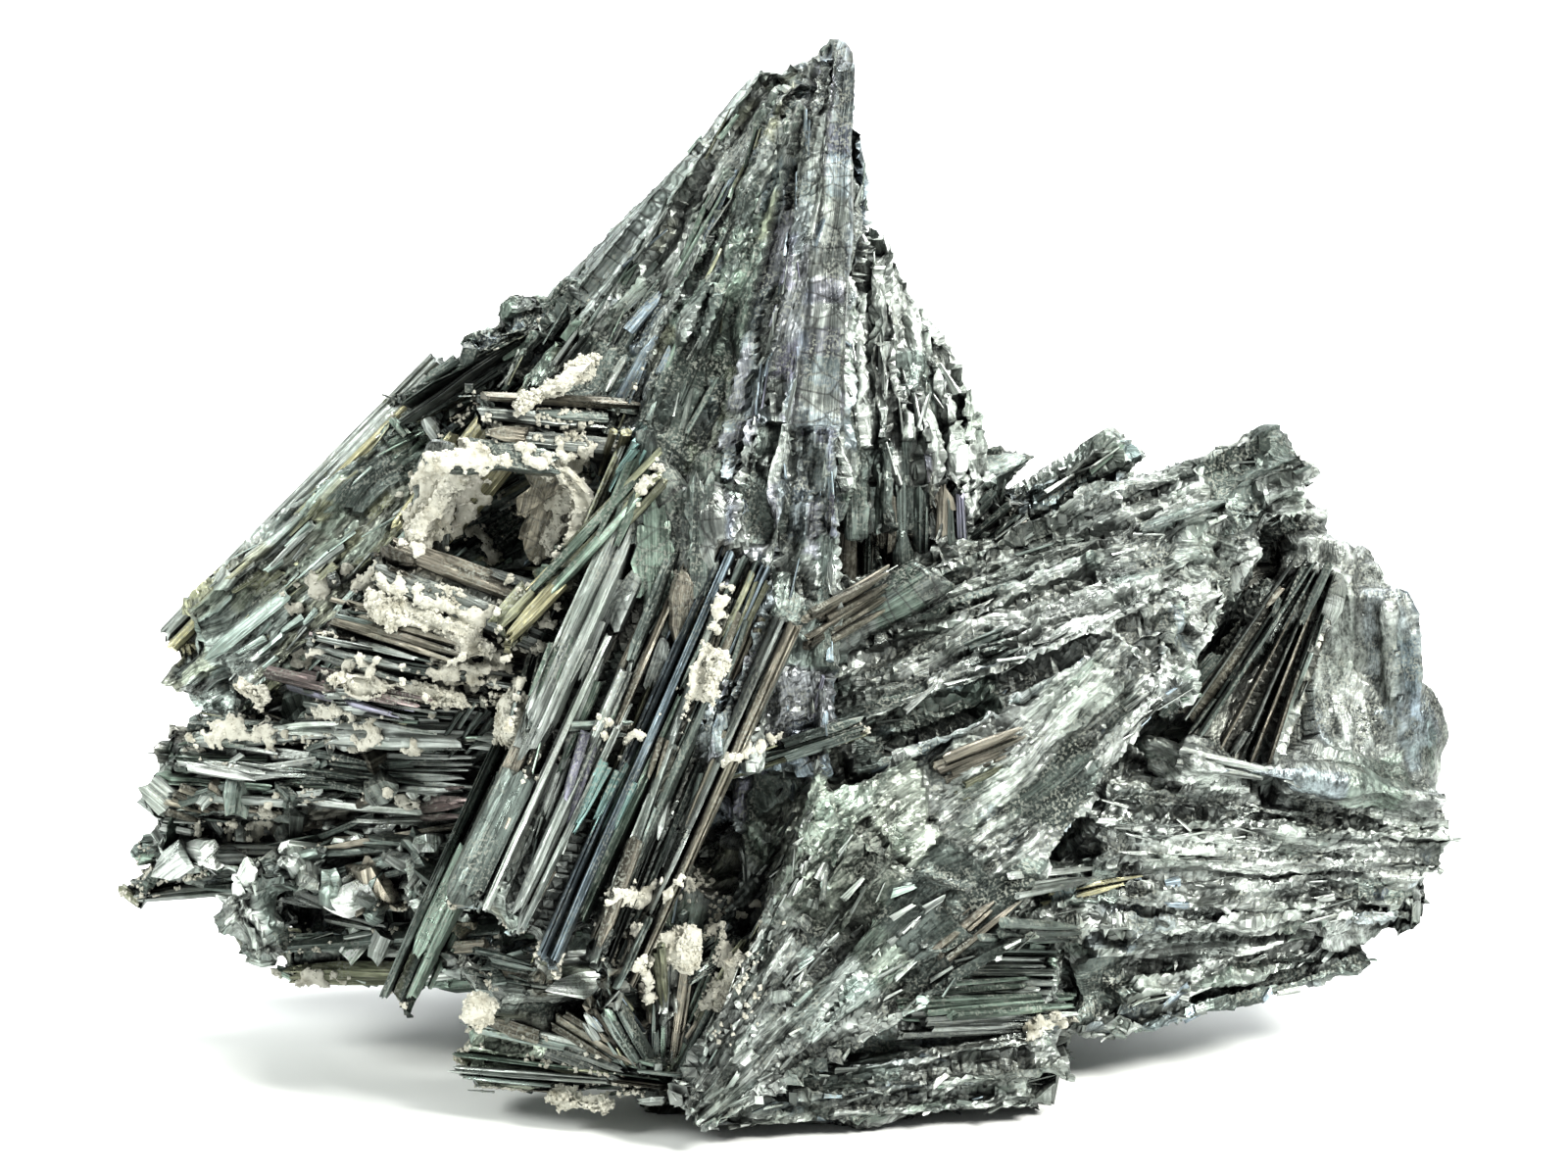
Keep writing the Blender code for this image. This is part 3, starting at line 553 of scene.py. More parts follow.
edges = {"thickness": 1.1, "lean": 0.6, "narrowest": 1e-6}  # how far a bundle reaches
changes = {  # metres: where in a bundle the growth becomes another kind
    "spireCrust": 0.034, "spireFibres": -0.0012, "flankSlab": -0.0036, "slabStart": 0.006,
    "slabEdge": -0.0205, "slabBack": 0.012,
}


def locate(places):  # sheaf, place in it (across, through and along, in metres) and direction of growth
    best = np.full(len(places), np.inf)
    which = np.zeros(len(places), int)
    local = np.zeros_like(places)
    direction = np.zeros_like(places)
    for order, sheaf in enumerate(sheaves.values()):
        offset = places - sheaf.root
        reach, across, through = offset @ sheaf.axis, offset @ sheaf.side, offset @ sheaf.face
        along = np.clip(reach / sheaf.length, 0, 1)
        miss = np.maximum(np.abs(across) - 0.5 * sheaf.widthAt(along), 0)
        miss += np.maximum(np.abs(through) - edges["thickness"] * sheaf.halfAt(along), 0)
        miss += np.abs(reach - along * sheaf.length)
        lean = across / np.maximum(sheaf.widthAt(along), edges["narrowest"])
        lean = np.clip(lean, -edges["lean"], edges["lean"])
        fan = sheaf.axis * sheaf.length + sheaf.side * (lean * (sheaf.tipWidth - sheaf.rootWidth))[:, None]
        closer = miss < best
        best[closer], which[closer] = miss[closer], order
        sideways = lean * 0.5 * (sheaf.tipWidth + sheaf.rootWidth)
        local[closer] = np.stack([sideways, through, reach], axis=1)[closer]
        direction[closer] = unit(fan)[closer]
    kinds = np.array([growthNames.index(growthOf[name]) for name in sheafNames])[which]
    spire = inBundle(which, "spire_face")
    crusty = spire & (local[:, 2] < changes["spireCrust"])
    kinds[crusty] = growthNames.index("sugary")
    kinds[spire & ~crusty & (local[:, 0] < changes["spireFibres"])] = growthNames.index("fibrous")
    slab = inBundle(which, "spire_flank") & (local[:, 0] < changes["flankSlab"])
    slab &= local[:, 2] > changes["slabStart"]
    kinds[slab] = growthNames.index("smooth")
    which[slab] = sheafNames.index("back_slab")
    lump = inBundle(which, "back_slab") & (places[:, 0] < changes["slabEdge"])
    lump &= places[:, 1] < changes["slabBack"]
    kinds[lump] = growthNames.index("broken")
    which[lump] = sheafNames.index("upper_left")
    return which, kinds, local, direction


# Materials.


class Nodes:  # the nodes of one material
    def __init__(self, name):
        self.material = bpy.data.materials.new(name)
        self.material.use_nodes = True
        self.tree = self.material.node_tree

    def feed(self, node, inputs):  # another node's output is linked, a plain value is set
        for key, value in inputs.items():
            if isinstance(value, bpy.types.NodeSocket):
                self.tree.links.new(value, node.inputs[key])
            else:
                node.inputs[key].default_value = value

    def make(self, kind, *values, **settings):  # names that start with a capital are inputs
        made = self.tree.nodes.new("ShaderNode" + kind)
        for key in [key for key in settings if key[0].islower()]:
            setattr(made, key, settings.pop(key))
        self.feed(made, {**dict(enumerate(values)), **settings})
        return made

    def spread(self, value, limits):  # limits are from low, from high, to low, to high
        return self.make("MapRange", value, *limits).outputs["Result"]

    def numbers(self, operation, *values, clamp=False):
        return self.make("Math", *values, operation=operation, use_clamp=clamp).outputs[0]

    def vectors(self, operation, *values, **inputs):
        return self.make("VectorMath", *values, operation=operation, **inputs).outputs["Vector"]

    def noise(self, places, **values):
        return self.make("TexNoise", places, **values).outputs["Fac"]

    def stretched(self, places, scale):
        return self.make("Mapping", places, Scale=scale).outputs["Vector"]

    def mix(self, share, first, second, blend="MIX"):
        made = self.make("Mix", share, data_type="RGBA", blend_type=blend)
        self.feed(made, {6: first, 7: (*second, 1) if isinstance(second, tuple) else second})
        return made.outputs[2]

    def finish(self, inputs):
        self.feed(self.tree.nodes["Principled BSDF"], inputs)
        return self.material


metal = {  # metres, or stretches of the strand; four numbers are a range of values and what it becomes
    "striaeScale": (4600, 130, 1), "bandScale": (1100, 40, 1), "striaeShade": (0.75, 1.25, 0.35, 1.6),
    "striaeBump": 0.7, "striaeDepth": 0.00016, "flakeScale": (2300, 650, 1), "flakeTilt": (0, 1, 0.3, 0.06),
    "crackScale": (260, 560, 1), "crackEdge": (0.0, 0.085, 0.85, 0.0), "crackColour": (0.03, 0.03, 0.03),
    "dullScale": 130.0, "dullPatch": (0.48, 0.62, 0, 1), "dullColour": (0.67, 0.7, 0.67),
    "roughness": (0.35, 0.68, 0.24, 0.56), "metallic": (0, 1, 0.9, 0.25), "dustRoughness": 0.35,
    "dustScale": 3600.0, "dustSpeck": (0.5, 0.6, 0, 1), "patchScale": 190.0,
    "dustPatch": (0.42, 0.6, 0.12, 0.85), "dustSlope": (-0.4, 0.7, 0.35, 1.15),
    # occlusion, its samples and gapShade give painted shade in the gaps
    "dustColour": (0.205, 0.215, 0.185), "occlusion": 0.006, "occlusionSamples": 6,
    "gapShade": (0.15, 0.7, 0.08, 1.1),
}


def stibniteMaterial():
    nodes = Nodes("stibnite_metal")
    strand = nodes.make("UVMap", uv_map="strand").outputs["UV"]
    place = nodes.make("TexCoord").outputs["Object"]
    tint = nodes.make("VertexColor", layer_name="tint")
    crackAmount = tint.outputs["Alpha"]
    fine, bands = (
        nodes.noise(nodes.stretched(strand, metal[scale]), noise_dimensions="2D", Scale=1.0, Detail=detail,
                    Roughness=roughness)
        for scale, detail, roughness in (("striaeScale", 3.0, 0.6), ("bandScale", 2.0, 0.5)))
    striae = nodes.numbers("ADD", fine, bands)
    dull = nodes.noise(place, Scale=metal["dullScale"], Detail=4.0, Roughness=0.7)
    colour = nodes.vectors("SCALE", tint.outputs["Color"], Scale=nodes.spread(striae, metal["striaeShade"]))
    colour = nodes.mix(nodes.spread(dull, metal["dullPatch"]), colour, metal["dullColour"], "MULTIPLY")
    cracks = nodes.make("TexVoronoi", nodes.stretched(strand, metal["crackScale"]), voronoi_dimensions="2D",
                        feature="DISTANCE_TO_EDGE", Scale=1.0).outputs["Distance"]
    cracked = nodes.numbers("MULTIPLY", nodes.spread(cracks, metal["crackEdge"]), crackAmount)
    colour = nodes.mix(cracked, colour, metal["crackColour"])
    speck = nodes.spread(nodes.noise(place, Scale=metal["dustScale"], Detail=2.0), metal["dustSpeck"])
    patch = nodes.noise(place, Scale=metal["patchScale"], Detail=3.0, Roughness=0.65)
    facing = nodes.make("SeparateXYZ", nodes.make("NewGeometry").outputs["Normal"]).outputs["Z"]
    dust = nodes.numbers("MULTIPLY", speck, nodes.spread(patch, metal["dustPatch"]))
    settled = nodes.numbers("MULTIPLY", dust, nodes.spread(facing, metal["dustSlope"]), clamp=True)
    colour = nodes.mix(settled, colour, metal["dustColour"])
    # painted shade: the base colour is darkened in the gaps and hollows that ambient occlusion finds
    occlusion = nodes.make("AmbientOcclusion", samples=metal["occlusionSamples"], Distance=metal["occlusion"])
    paintedGapShade = nodes.spread(occlusion.outputs["AO"], metal["gapShade"])  # little light gets into the gaps
    polish = nodes.spread(dull, metal["roughness"])
    wearAndHighlight = nodes.numbers("MULTIPLY_ADD", settled, metal["dustRoughness"], polish, clamp=True)
    ribs = nodes.make("Bump", Strength=metal["striaeBump"], Distance=metal["striaeDepth"], Height=striae)
    flakes = nodes.make("TexVoronoi", nodes.stretched(strand, metal["flakeScale"]), voronoi_dimensions="2D",
                        Scale=1.0).outputs["Color"]
    tilt = nodes.vectors("SCALE", nodes.vectors("SUBTRACT", flakes, (0.5, 0.5, 0.5)),
                         Scale=nodes.spread(crackAmount, metal["flakeTilt"]))  # smooth faces have few flakes
    normal = nodes.vectors("NORMALIZE", nodes.vectors("ADD", tilt, ribs.outputs["Normal"]))
    return nodes.finish({
        "Base Color": nodes.vectors("SCALE", colour, Scale=paintedGapShade), "Roughness": wearAndHighlight, "Normal": normal,
        "Metallic": nodes.spread(settled, metal["metallic"]),
    })


drusy = {
    "colour": (0.43, 0.42, 0.36), "shadow": (0.25, 0.235, 0.18, 1), "roughness": 0.65, "blotchScale": 420.0,
    "blotch": (0.3, 0.52, 0, 1), "grainScale": 2600.0, "grainBump": 0.5, "grainDepth": 0.0002,
}


def druseMaterial():
    nodes = Nodes("druse_sugar")
    place = nodes.make("TexCoord").outputs["Object"]
    blotch = nodes.noise(place, Scale=drusy["blotchScale"], Detail=4.0, Roughness=0.65)
    grain = nodes.noise(place, Scale=drusy["grainScale"], Detail=2.0)
    relief = nodes.make("Bump", Strength=drusy["grainBump"], Distance=drusy["grainDepth"], Height=grain)
    return nodes.finish({
        "Base Color": nodes.mix(nodes.spread(blotch, drusy["blotch"]), drusy["shadow"], drusy["colour"]),
        "Roughness": drusy["roughness"], "Normal": relief.outputs["Normal"],
    })


stibnite = stibniteMaterial()
druse = druseMaterial()
print("materials are made")

# The rough mass that lies under the blades: the solid's own shape, broken up into bricks of crystal.

# Scales and places are in metres, heights in millimetres. Layers of noise say how strong, how large, a seed.
# Shades are the least brightness and how much it rises, for plates, blocks, chips and crests: painted shade
# where these stand lower, painted highlight where they stand higher.
massLook = {
    "seed": 5, "voxel": 0.00047, "waveScale": 0.006, "waveStretch": (1, 1, 2), "brickSeed": 7,
    "lumps": ((1, 0.008, 4), (0.4, 0.003, 5)), "ridges": ((1, (2.6, 2.6, 13), 30), (0.5, (1.1, 1.1, 6), 31)),
    "crest": 0.45, "heights": (-2.2, 1.0), "flatBelow": 0.0004, "flatFacing": -0.7, "shadeScale": 0.014,
    "shades": ((0.6, 0.5), (0.7, 0.5), (0.8, 0.4), (0.55, 0.75)), "shade": 0.25, "blockShare": 0.6,
    "windowRough": 0.15, "windowTint": 0.6, "sweepTop": 22, "sweepTint": (0.72, 0.74, 0.68),
    "leftTop": 0.071, "leftTint": 0.55, "slabFrontLight": (1.85, 1.68, 1.78),
}
knobs = (  # small balls that round off the solid where crystals meet: centre and half sizes, in millimetres
    ((1.2, 4.2, 98.5), (3.2, 2.4, 4.2)), ((5.0, 3.8, 102.9), (2.3, 2.1, 2.6)),
    ((-59, 4.5, 39), (5.5, 2.5, 3.6)), ((-55, 3, 41), (6, 3, 3)), ((51, 5, 55), (4.5, 4, 3.2)),
    ((30, -11, 6), (4, 4, 3)), ((-26, 6, 76.6), (3.2, 3, 2.4)), ((-21.5, 6.5, 79.2), (2.4, 3, 2)),
    ((-30, 5, 73.6), (3, 3, 2)), ((2.8, 4.2, 100), (2.2, 2.2, 3.4)), ((6.3, 4, 97.5), (1.7, 2.2, 3.2)),
    ((6.4, 3.6, 93.8), (1.4, 2, 2.4)), ((65.4, 4, 32), (3.4, 4, 6.5)), ((60.5, 6, 50.3), (3, 3, 2.8)),
    ((49, 3.5, 63.4), (3.2, 3, 3.2)), ((46.4, 3.5, 61.8), (3, 3, 2.6)), ((-13, -16.5, 60), (4.4, 3, 7)),
    ((-7.5, -17.5, 57), (4, 3, 8)), ((-55, -9, 18.5), (3.6, 4, 3.8)), ((-53, -9, 14.5), (3.4, 4, 3)),
)
wornOff = (  # corners that are rounder: centre, radius and depth, in millimetres
    ((66, 6, 54), 9, 4.5), ((31, -16, 0), 10, 7.5), ((68.5, 3, 11.5), 10, 6.0), ((-3, 8.5, 101.5), 6, 3.2),
    ((-36, -18, 0), 6, 3.0), ((55, 3, 59), 4, 2.0), ((9.5, 5, 87), 5, 2.4),
)
filled = {  # bundles whose grooves are filled, and how high: they read as one broad face
    "spire_face": 0.92, "spire_flank": 0.9, "spire_edge": 0.6, "back_slab": 0.9, "left_slab": 0.85,
    "upper_left": 0.6, "fan_sweep": 0.8, "fan_ridge": 0.8, "fan_ledge": 0.6, "arm_crest": 0.75,
    "arm_middle": 0.7, "arm_low": 0.65, "lobe_rind": 0.9, "lobe_band": 0.75, "lobe_low": 0.6,
    "shoulder_high": 0.6, "shoulder_low": 0.6, "back_spire": 0.7, "back_flank": 0.7, "back_left_high": 0.7,
    "back_right_high": 0.7, "back_foot": 0.8,
}
bridged = (  # neighbours that are one mass, and how high the mass between them is
    ("spire_face", "spire_flank", 0.75), ("spire_flank", "back_slab", 0.7), ("spire_face", "spire_edge", 0.6),
    ("arm_crest", "arm_middle", 0.5), ("arm_middle", "arm_low", 0.5), ("fan_sweep", "fan_ridge", 0.5),
    ("lobe_band", "lobe_low", 0.5), ("lobe_low", "lobe_bottom", 0.4), ("lobe_rind", "lobe_ledge", 0.5),
    ("shoulder_high", "shoulder_low", 0.5), ("back_right_high", "back_right_low", 0.7),
    ("back_left_high", "back_left_low", 0.7), ("back_spire", "back_foot", 0.4),
    ("back_foot", "back_left_low", 0.3), ("back_foot", "back_right_low", 0.3), ("left_high", "left_low", 0.4),
)
fillShape = {  # in shares of a bundle
    "depth": -0.6, "bridgeAlong": (0.08, 0.9), "bridgeAcross": (-0.42, 0.42), "begin": 0.01,
    "beforeEnd": 0.02, "across": (-0.47, 0.47),
}


def addBridge(form, first, second, high):
    corners = [form.verts.new(sheaf.place(across, through, along)) for sheaf in (first, second)
               for along in fillShape["bridgeAlong"] for through in (fillShape["depth"], high)
               for across in fillShape["bridgeAcross"]]
    hull = bmesh.ops.convex_hull(form, input=corners)
    spare = {thing for key in ("geom_interior", "geom_unused") for thing in hull[key]}
    spare = [thing for thing in spare if isinstance(thing, bmesh.types.BMVert)]
    bmesh.ops.delete(form, geom=spare, context="VERTS")


def addFilling(form, sheaf, high):
    end = float(np.mean(sheaf.ends)) - fillShape["beforeEnd"]
    corners = [form.verts.new(sheaf.place(across, through, along)) for along in (fillShape["begin"], end)
               for through in (fillShape["depth"], high) for across in fillShape["across"]]
    for quad in ((0, 1, 3, 2), (4, 6, 7, 5), (0, 4, 5, 1), (2, 3, 7, 6), (0, 2, 6, 4), (1, 5, 7, 3)):
        form.faces.new([corners[k] for k in quad])


def fillHollows(form):  # the solid's crystals grow together
    for centre, halves in knobs:
        for vertex in bmesh.ops.create_icosphere(form, subdivisions=3, radius=1)["verts"]:
            vertex.co = (Vector(centre) + Vector(halves) * vertex.co) * mm
    for name, high in filled.items():
        addFilling(form, sheaves[name], high)
    for first, second, high in bridged:
        addBridge(form, sheaves[first], sheaves[second], high)


def readRows(rows, key, kind):  # three numbers for each point or triangle
    values = np.empty(len(rows) * 3, kind)
    rows.foreach_get(key, values)
    return values.reshape(-1, 3)


def remeshed(mesh, size, addMore=None):  # points, outward directions and triangles of an even mesh
    helper = linked("helper", mesh.copy())
    form = bmesh.new()
    form.from_mesh(helper.data)
    if addMore:
        addMore(form)
    bmesh.ops.recalc_face_normals(form, faces=form.faces)
    form.to_mesh(helper.data)
    form.free()
    remesh = helper.modifiers.new("remesh", "REMESH")
    remesh.mode = "VOXEL"
    remesh.voxel_size = size
    bpy.context.view_layer.update()
    even = bpy.data.meshes.new_from_object(helper.evaluated_get(bpy.context.evaluated_depsgraph_get()))
    even.calc_loop_triangles()
    points = readRows(even.vertices, "co", np.float32).astype(float)
    normals = readRows(even.vertices, "normal", np.float32).astype(float)
    faces = readRows(even.loop_triangles, "vertices", np.int32)
    copied = helper.data
    bpy.data.objects.remove(helper)
    bpy.data.meshes.remove(copied)
    bpy.data.meshes.remove(even)
    return points, normals, faces


def buildMass():
    rng = np.random.default_rng(massLook["seed"])
    points, normals, faces = remeshed(cluster.data, massLook["voxel"], fillHollows)
    which, kinds, local, _ = locate(points)
    local = local / mm
    wave = np.stack([softNoise(points, massLook["waveScale"], seed) for seed in (1, 2, 3)], axis=1)
    local += perKind(kinds, "wave")[:, None] * wave * massLook["waveStretch"]
    sheaf = which[:, None] * 1000
    plateRow, blockRow, chipRow = (brickCells(local, perKind(kinds, key), massLook["brickSeed"]) + sheaf
                                   for key in ("plate", "cell", "chip"))
    plate, block, chip = stirred(plateRow, 10), stirred(blockRow, 11), stirred(chipRow, 12)
    window = stirred(plateRow, 16) < perKind(kinds, "windows")  # flat dark faces of single crystals
    ridges = sum(share * softNoise(local * (1 / np.array(size)) + sheaf, 1.0, seed)
                 for share, size, seed in massLook["ridges"])
    crest = 1 - 2 * np.minimum(np.abs(ridges), 0.6)
    rough = np.where(window, massLook["windowRough"], 1.0)
    height = perKind(kinds, "lumps") * layered(points, massLook["lumps"])
    height += perKind(kinds, "ridge") * (crest - massLook["crest"]) * rough
    height += perKind(kinds, "tread") * (plate - 0.5)
    steps = rough * perKind(kinds, "step") * (block - 0.5)
    height += steps + rough * perKind(kinds, "chipStep") * (chip - 0.5)
    height += rough * perKind(kinds, "grit") * rng.uniform(-1, 1, len(points)) - perKind(kinds, "inset")
    height[(points[:, 2] < massLook["flatBelow"]) & (normals[:, 2] < massLook["flatFacing"])] = 0
    height = np.clip(height, *massLook["heights"])
    for centre, radius, depth in wornOff:
        height -= depth * np.clip(1 - np.linalg.norm(points / mm - centre, axis=1) / radius, 0, 1)
    points += normals * height[:, None] * mm
    # painted shade and highlight: places that stand lower are darker, raised cells and crests lighter
    shade = np.ones(len(points))
    for (base, rise), amount in zip(massLook["shades"], (plate, block, chip, np.clip(crest, 0, 1))):
        shade *= base + rise * amount
    shade *= 1 + massLook["shade"] * softNoise(points, massLook["shadeScale"], 6)
    tint = toneFor(kinds, which, stirred(plateRow, 13)) * (1 - massLook["blockShare"])
    tint += toneFor(kinds, which, stirred(blockRow, 14)) * massLook["blockShare"]
    tint[inBundle(which, "fan_sweep") & (local[:, 2] > massLook["sweepTop"])] *= massLook["sweepTint"]
    tint[inBundle(which, "upper_left") & (points[:, 2] > massLook["leftTop"])] *= massLook["leftTint"]
    # painted light: the back slab's faces that look to the front are made lighter
    tint[inBundle(which, "back_slab") & (normals[:, 1] < 0)] *= massLook["slabFrontLight"]
    tint[window] = tones["graphite"] * (1 + massLook["windowTint"] * plate[window, None])
    tint = np.concatenate([tint * shade[:, None], perKind(kinds, "cracks")[:, None]], axis=1)
    strand = (local[:, [0, 2]] + local[:, [1, 1]] * (1, 0)) * mm
    strand[:, 1] *= perKind(kinds, "weave")
    rounded = perKind(kinds, "round").astype(bool)
    faceRegion = np.array([regionNames.index(regionOf[name]) for name in sheafNames])[which][faces[:, 0]]
    for order, name in enumerate(regionNames):
        chosen = faces[faceRegion == order]
        used, packed = np.unique(chosen, return_inverse=True)
        heap = Heap()
        heap.add(points[used], packed.reshape(-1, 3), strand[used], tint[used])
        heap.smooth = rounded[chosen[:, 0]]
        piece = heap.build(name + "_mass", stibnite, "stibnite")
        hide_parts("stibnite_cluster")


def treeOf(parts):  # a tree in which rays and nearest places are found
    offsets = np.cumsum([0] + [len(points) for points, _ in parts])
    faces = np.concatenate([faces + offset for (_, faces), offset in zip(parts, offsets)])
    return BVHTree.FromPolygons(np.concatenate([points for points, _ in parts]).tolist(), faces.tolist())


buildMass()
massTree = treeOf(solidParts)
sixWays = ((1, 0, 0), (-1, 0, 0), (0, 1, 0), (0, -1, 0), (0, 0, 1), (0, 0, -1))
nearby = 0.5  # millimetres; this near the mass, a place is in or out as the nearest face says


def standing(places):  # how far each place stands out of the mass, in millimetres
    out = []
    for place in map(Vector, places):
        near, normal, _, reach = massTree.find_nearest(place)
        outside = (place - near).dot(normal) > 0
        if reach > nearby * mm and not outside:  # a place that sees out on any side isn't inside
            outside = any(massTree.ray_cast(place, Vector(way))[0] is None for way in sixWays)
        out.append(reach / mm if outside else -reach / mm)
    return np.array(out)


# The long crystals, region by region.

longBlades = {  # in shares of a crystal
    "cutShift": 0.25, "fullLength": 12, "breaksAt": (0.2, 0.85), "endLoss": 0.02, "lift": 0.08,
    "top": (0.4, 1.2), "bulk": (0.8, 1.3), "shape": (7, 0.12, 0.75),
}
overBlades = {  # in shares of a bundle
    "leftEdge": -0.46, "flankEdge": -0.2, "rightEdge": 0.46, "begin": (-0.05, 0.75), "length": (0.1, 0.45),
    "bulk": (0.12, 0.35), "top": (0.75, 1.0), "span": (0.15, 0.6), "sizeAt": 0.7, "thickest": 1.1,
    "shape": (5, 0.2, 0.45),
}
bladeLimits = ((0.1, 1.3), (0.5, 0.9), (1.0, 1.2))  # share of the length, and how far it may stand out there
bladeShade = (0.6, 1.35)
bladeTorn = 0.8
ringStep = 8  # millimetres
crystalSeed = 8


def growSheaf(heap, sheaf, growth, rng):
    look = growths[growth]
    if look["split"][1]:
        growLong(heap, sheaf, look, rng)
    count = look["overlay"] * sheaf.count
    if count:
        growOver(heap, sheaf, look, rng, count)


def growOver(heap, sheaf, look, rng, count):  # shorter blades that lie on the others and end in steps
    leftEdge = overBlades["flankEdge" if sheaf.name == "spire_flank" else "leftEdge"]
    across = rng.uniform(leftEdge, overBlades["rightEdge"], count)
    begin = rng.uniform(*overBlades["begin"], count)
    end = np.minimum(begin + rng.uniform(*overBlades["length"], count), np.mean(sheaf.ends))
    bulk = rng.uniform(*overBlades["bulk"], count)
    top = rng.uniform(*overBlades["top"], count)
    wide, thick = sheaf.widthAt(overBlades["sizeAt"]), sheaf.halfAt(overBlades["sizeAt"])
    span = np.minimum(rng.uniform(*overBlades["span"], count) / sheaf.count, look["broadest"] * mm / wide)
    bulk = np.minimum(bulk, overBlades["thickest"] * span * wide / thick)  # no thicker than wide
    placeBlades(heap, sheaf, look, rng, (across, span, top, bulk, begin, end), *overBlades["shape"])


def growLong(heap, sheaf, look, rng):
    rows = []
    for i in range(sheaf.count):
        left, right = sheaf.grooves[i], sheaf.grooves[i + 1]
        parts = rng.integers(look["split"][0], look["split"][1] + 1)
        shift = rng.uniform(-longBlades["cutShift"], longBlades["cutShift"], parts - 1)
        cuts = np.sort(np.concatenate([[0, 1], (np.arange(1, parts) + shift) / parts]))
        for low, high in zip(cuts, cuts[1:]):
            level = np.interp((low + high) / 2, (0, 1), sheaf.heights[i]) + rng.normal(0, look["depth"])
            breaks = [0.0, sheaf.ends[i] - abs(rng.normal(0, longBlades["endLoss"]))]
            if sheaf.length > longBlades["fullLength"] * mm:
                more = rng.integers(0, look["breaks"] + 1)
                breaks[1:1] = sorted(rng.uniform(*longBlades["breaksAt"], more))
            for first, last in zip(breaks, breaks[1:]):
                span = (right - left) * (high - low) * rng.uniform(*look["fill"])
                top = level + rng.normal(0, longBlades["lift"])
                rows.append((left + (right - left) * (low + high) / 2, span, top, first, last))
    across, span, top, begin, end = np.array(rows).T
    bulk = rng.uniform(*longBlades["bulk"], len(rows))
    level = np.clip(top, *longBlades["top"]) - bulk / 2
    placeBlades(heap, sheaf, look, rng, (across, span, level, bulk, begin, end), *longBlades["shape"])


def placeBlades(heap, sheaf, look, rng, layout, detail, twist, nip):
    across, span, level, bulk, begin, end = layout
    count = len(across)
    start = sheaf.place(across, level, begin)
    swing = rng.normal(0, look["swing"], (2, count))
    stop = sheaf.place(across + swing[0], level + swing[1], end)
    side = unit(np.tile(sheaf.side, (count, 1)) + sheaf.face * rng.normal(0, twist, (count, 1)))
    face = unit(np.cross(side, unit(stop - start)))
    width = np.stack([span * sheaf.widthAt(begin), span * sheaf.widthAt(end)], axis=1)
    thick = np.stack([bulk * sheaf.halfAt(begin), bulk * sheaf.halfAt(end)], axis=1)
    tint = tonesIn(toneShares.get(sheaf.name, growths[growthOf[sheaf.name]]["tones"]), rng.random(count))
    tint = tint * rng.uniform(*bladeShade, (count, 1)) * bundleShades.get(sheaf.name, 1)
    kept = np.ones(count, bool)  # no blade hangs in the air
    for share, limit in bladeLimits:
        kept &= standing(start * (1 - share) + stop * share) < limit
    rings = max(3, round(sheaf.length / (ringStep * mm)))
    shape = {"across": detail, "rings": rings, "groove": look["groove"], "sway": look["sway"],
             "torn": bladeTorn, "nip": nip}
    addBlades(heap, rng, *(rows[kept] for rows in (start, stop, side, face, width, thick, tint)), shape)


def buildCrystals():
    rng = np.random.default_rng(crystalSeed)
    for region, kinds in regions.items():
        heap = Heap()
        for growth, names in kinds.items():
            for name in names:
                growSheaf(heap, sheaves[name], growth, rng)
        heap.build(region + "_crystals", stibnite, "stibnite")


buildCrystals()

# Flat plates, each a single broken face with a ragged rim.

plates = (  # centre, direction along, facing, half length, half width, thickness in millimetres, tone
    ((-14.5, -18.5, 63), (0.22, 0.1, 1), (-0.5, -1, 0.1), 5.2, 2.0, 1.6, "graphite"),
    ((-12.5, -20.0, 57), (-0.02, 0.1, 1), (0.05, -1, 0.1), 6.0, 2.0, 1.6, "green"),
    ((-17.0, -20.0, 53), (0.45, 0.1, 1), (-0.5, -1, 0.1), 4.6, 1.6, 1.5, "steel"),
    ((-9.0, -21.5, 51), (0.1, 0.1, 1), (0.45, -1, 0.0), 5.4, 1.8, 1.5, "brown"),
    ((-8.0, -20.0, 60), (0.05, 0.2, 1), (0.3, -1, 0.1), 5.0, 1.8, 1.5, "graphite"),
    ((-20.5, -20.0, 47), (0.5, 0.1, 1), (-0.6, -1, 0.1), 4.0, 1.5, 1.4, "green"),
    ((-11.5, -22.5, 46), (0.3, 0.1, 1), (0.2, -1, 0.1), 4.6, 1.5, 1.4, "steel"),
    ((-23.7, -9.9, 61.2), (0.28, 0.1, 1), (-0.4, -1, 0.1), 5.0, 3.5, 1.0, "tan"),
    ((-28.0, -15.5, 66.5), (1, 0.1, -0.12), (0, -1, 0.4), 6.5, 1.5, 2.4, "graphite"),
    ((-35.0, -9.5, 61), (0.25, 0.1, 1), (0.0, -1, 0.2), 4.4, 3.0, 1.2, "steel"),
)


plateLook = {  # millimetres and shares of the plate
    "seed": 61, "sides": 44, "knocks": 0.3, "turns": (2, 3, 5, 8, 13), "ragged": 0.08, "reach": (0.55, 1.35),
    "squareness": 0.8, "relief": ((0.22, 1.6, 61), (0.1, 0.6, 62)), "cracks": 0.7, "shade": (0.6, 0.9),
    "rimShade": (0.8, 2.2), "rings": (  # share of the outline, level; from the back of the plate to its face
        (0.9, -1.0), (1.0, -0.55), (0.97, -0.1), (0.8, 0.0), (0.6, 0.0), (0.4, 0.0), (0.2, 0.0)),
}


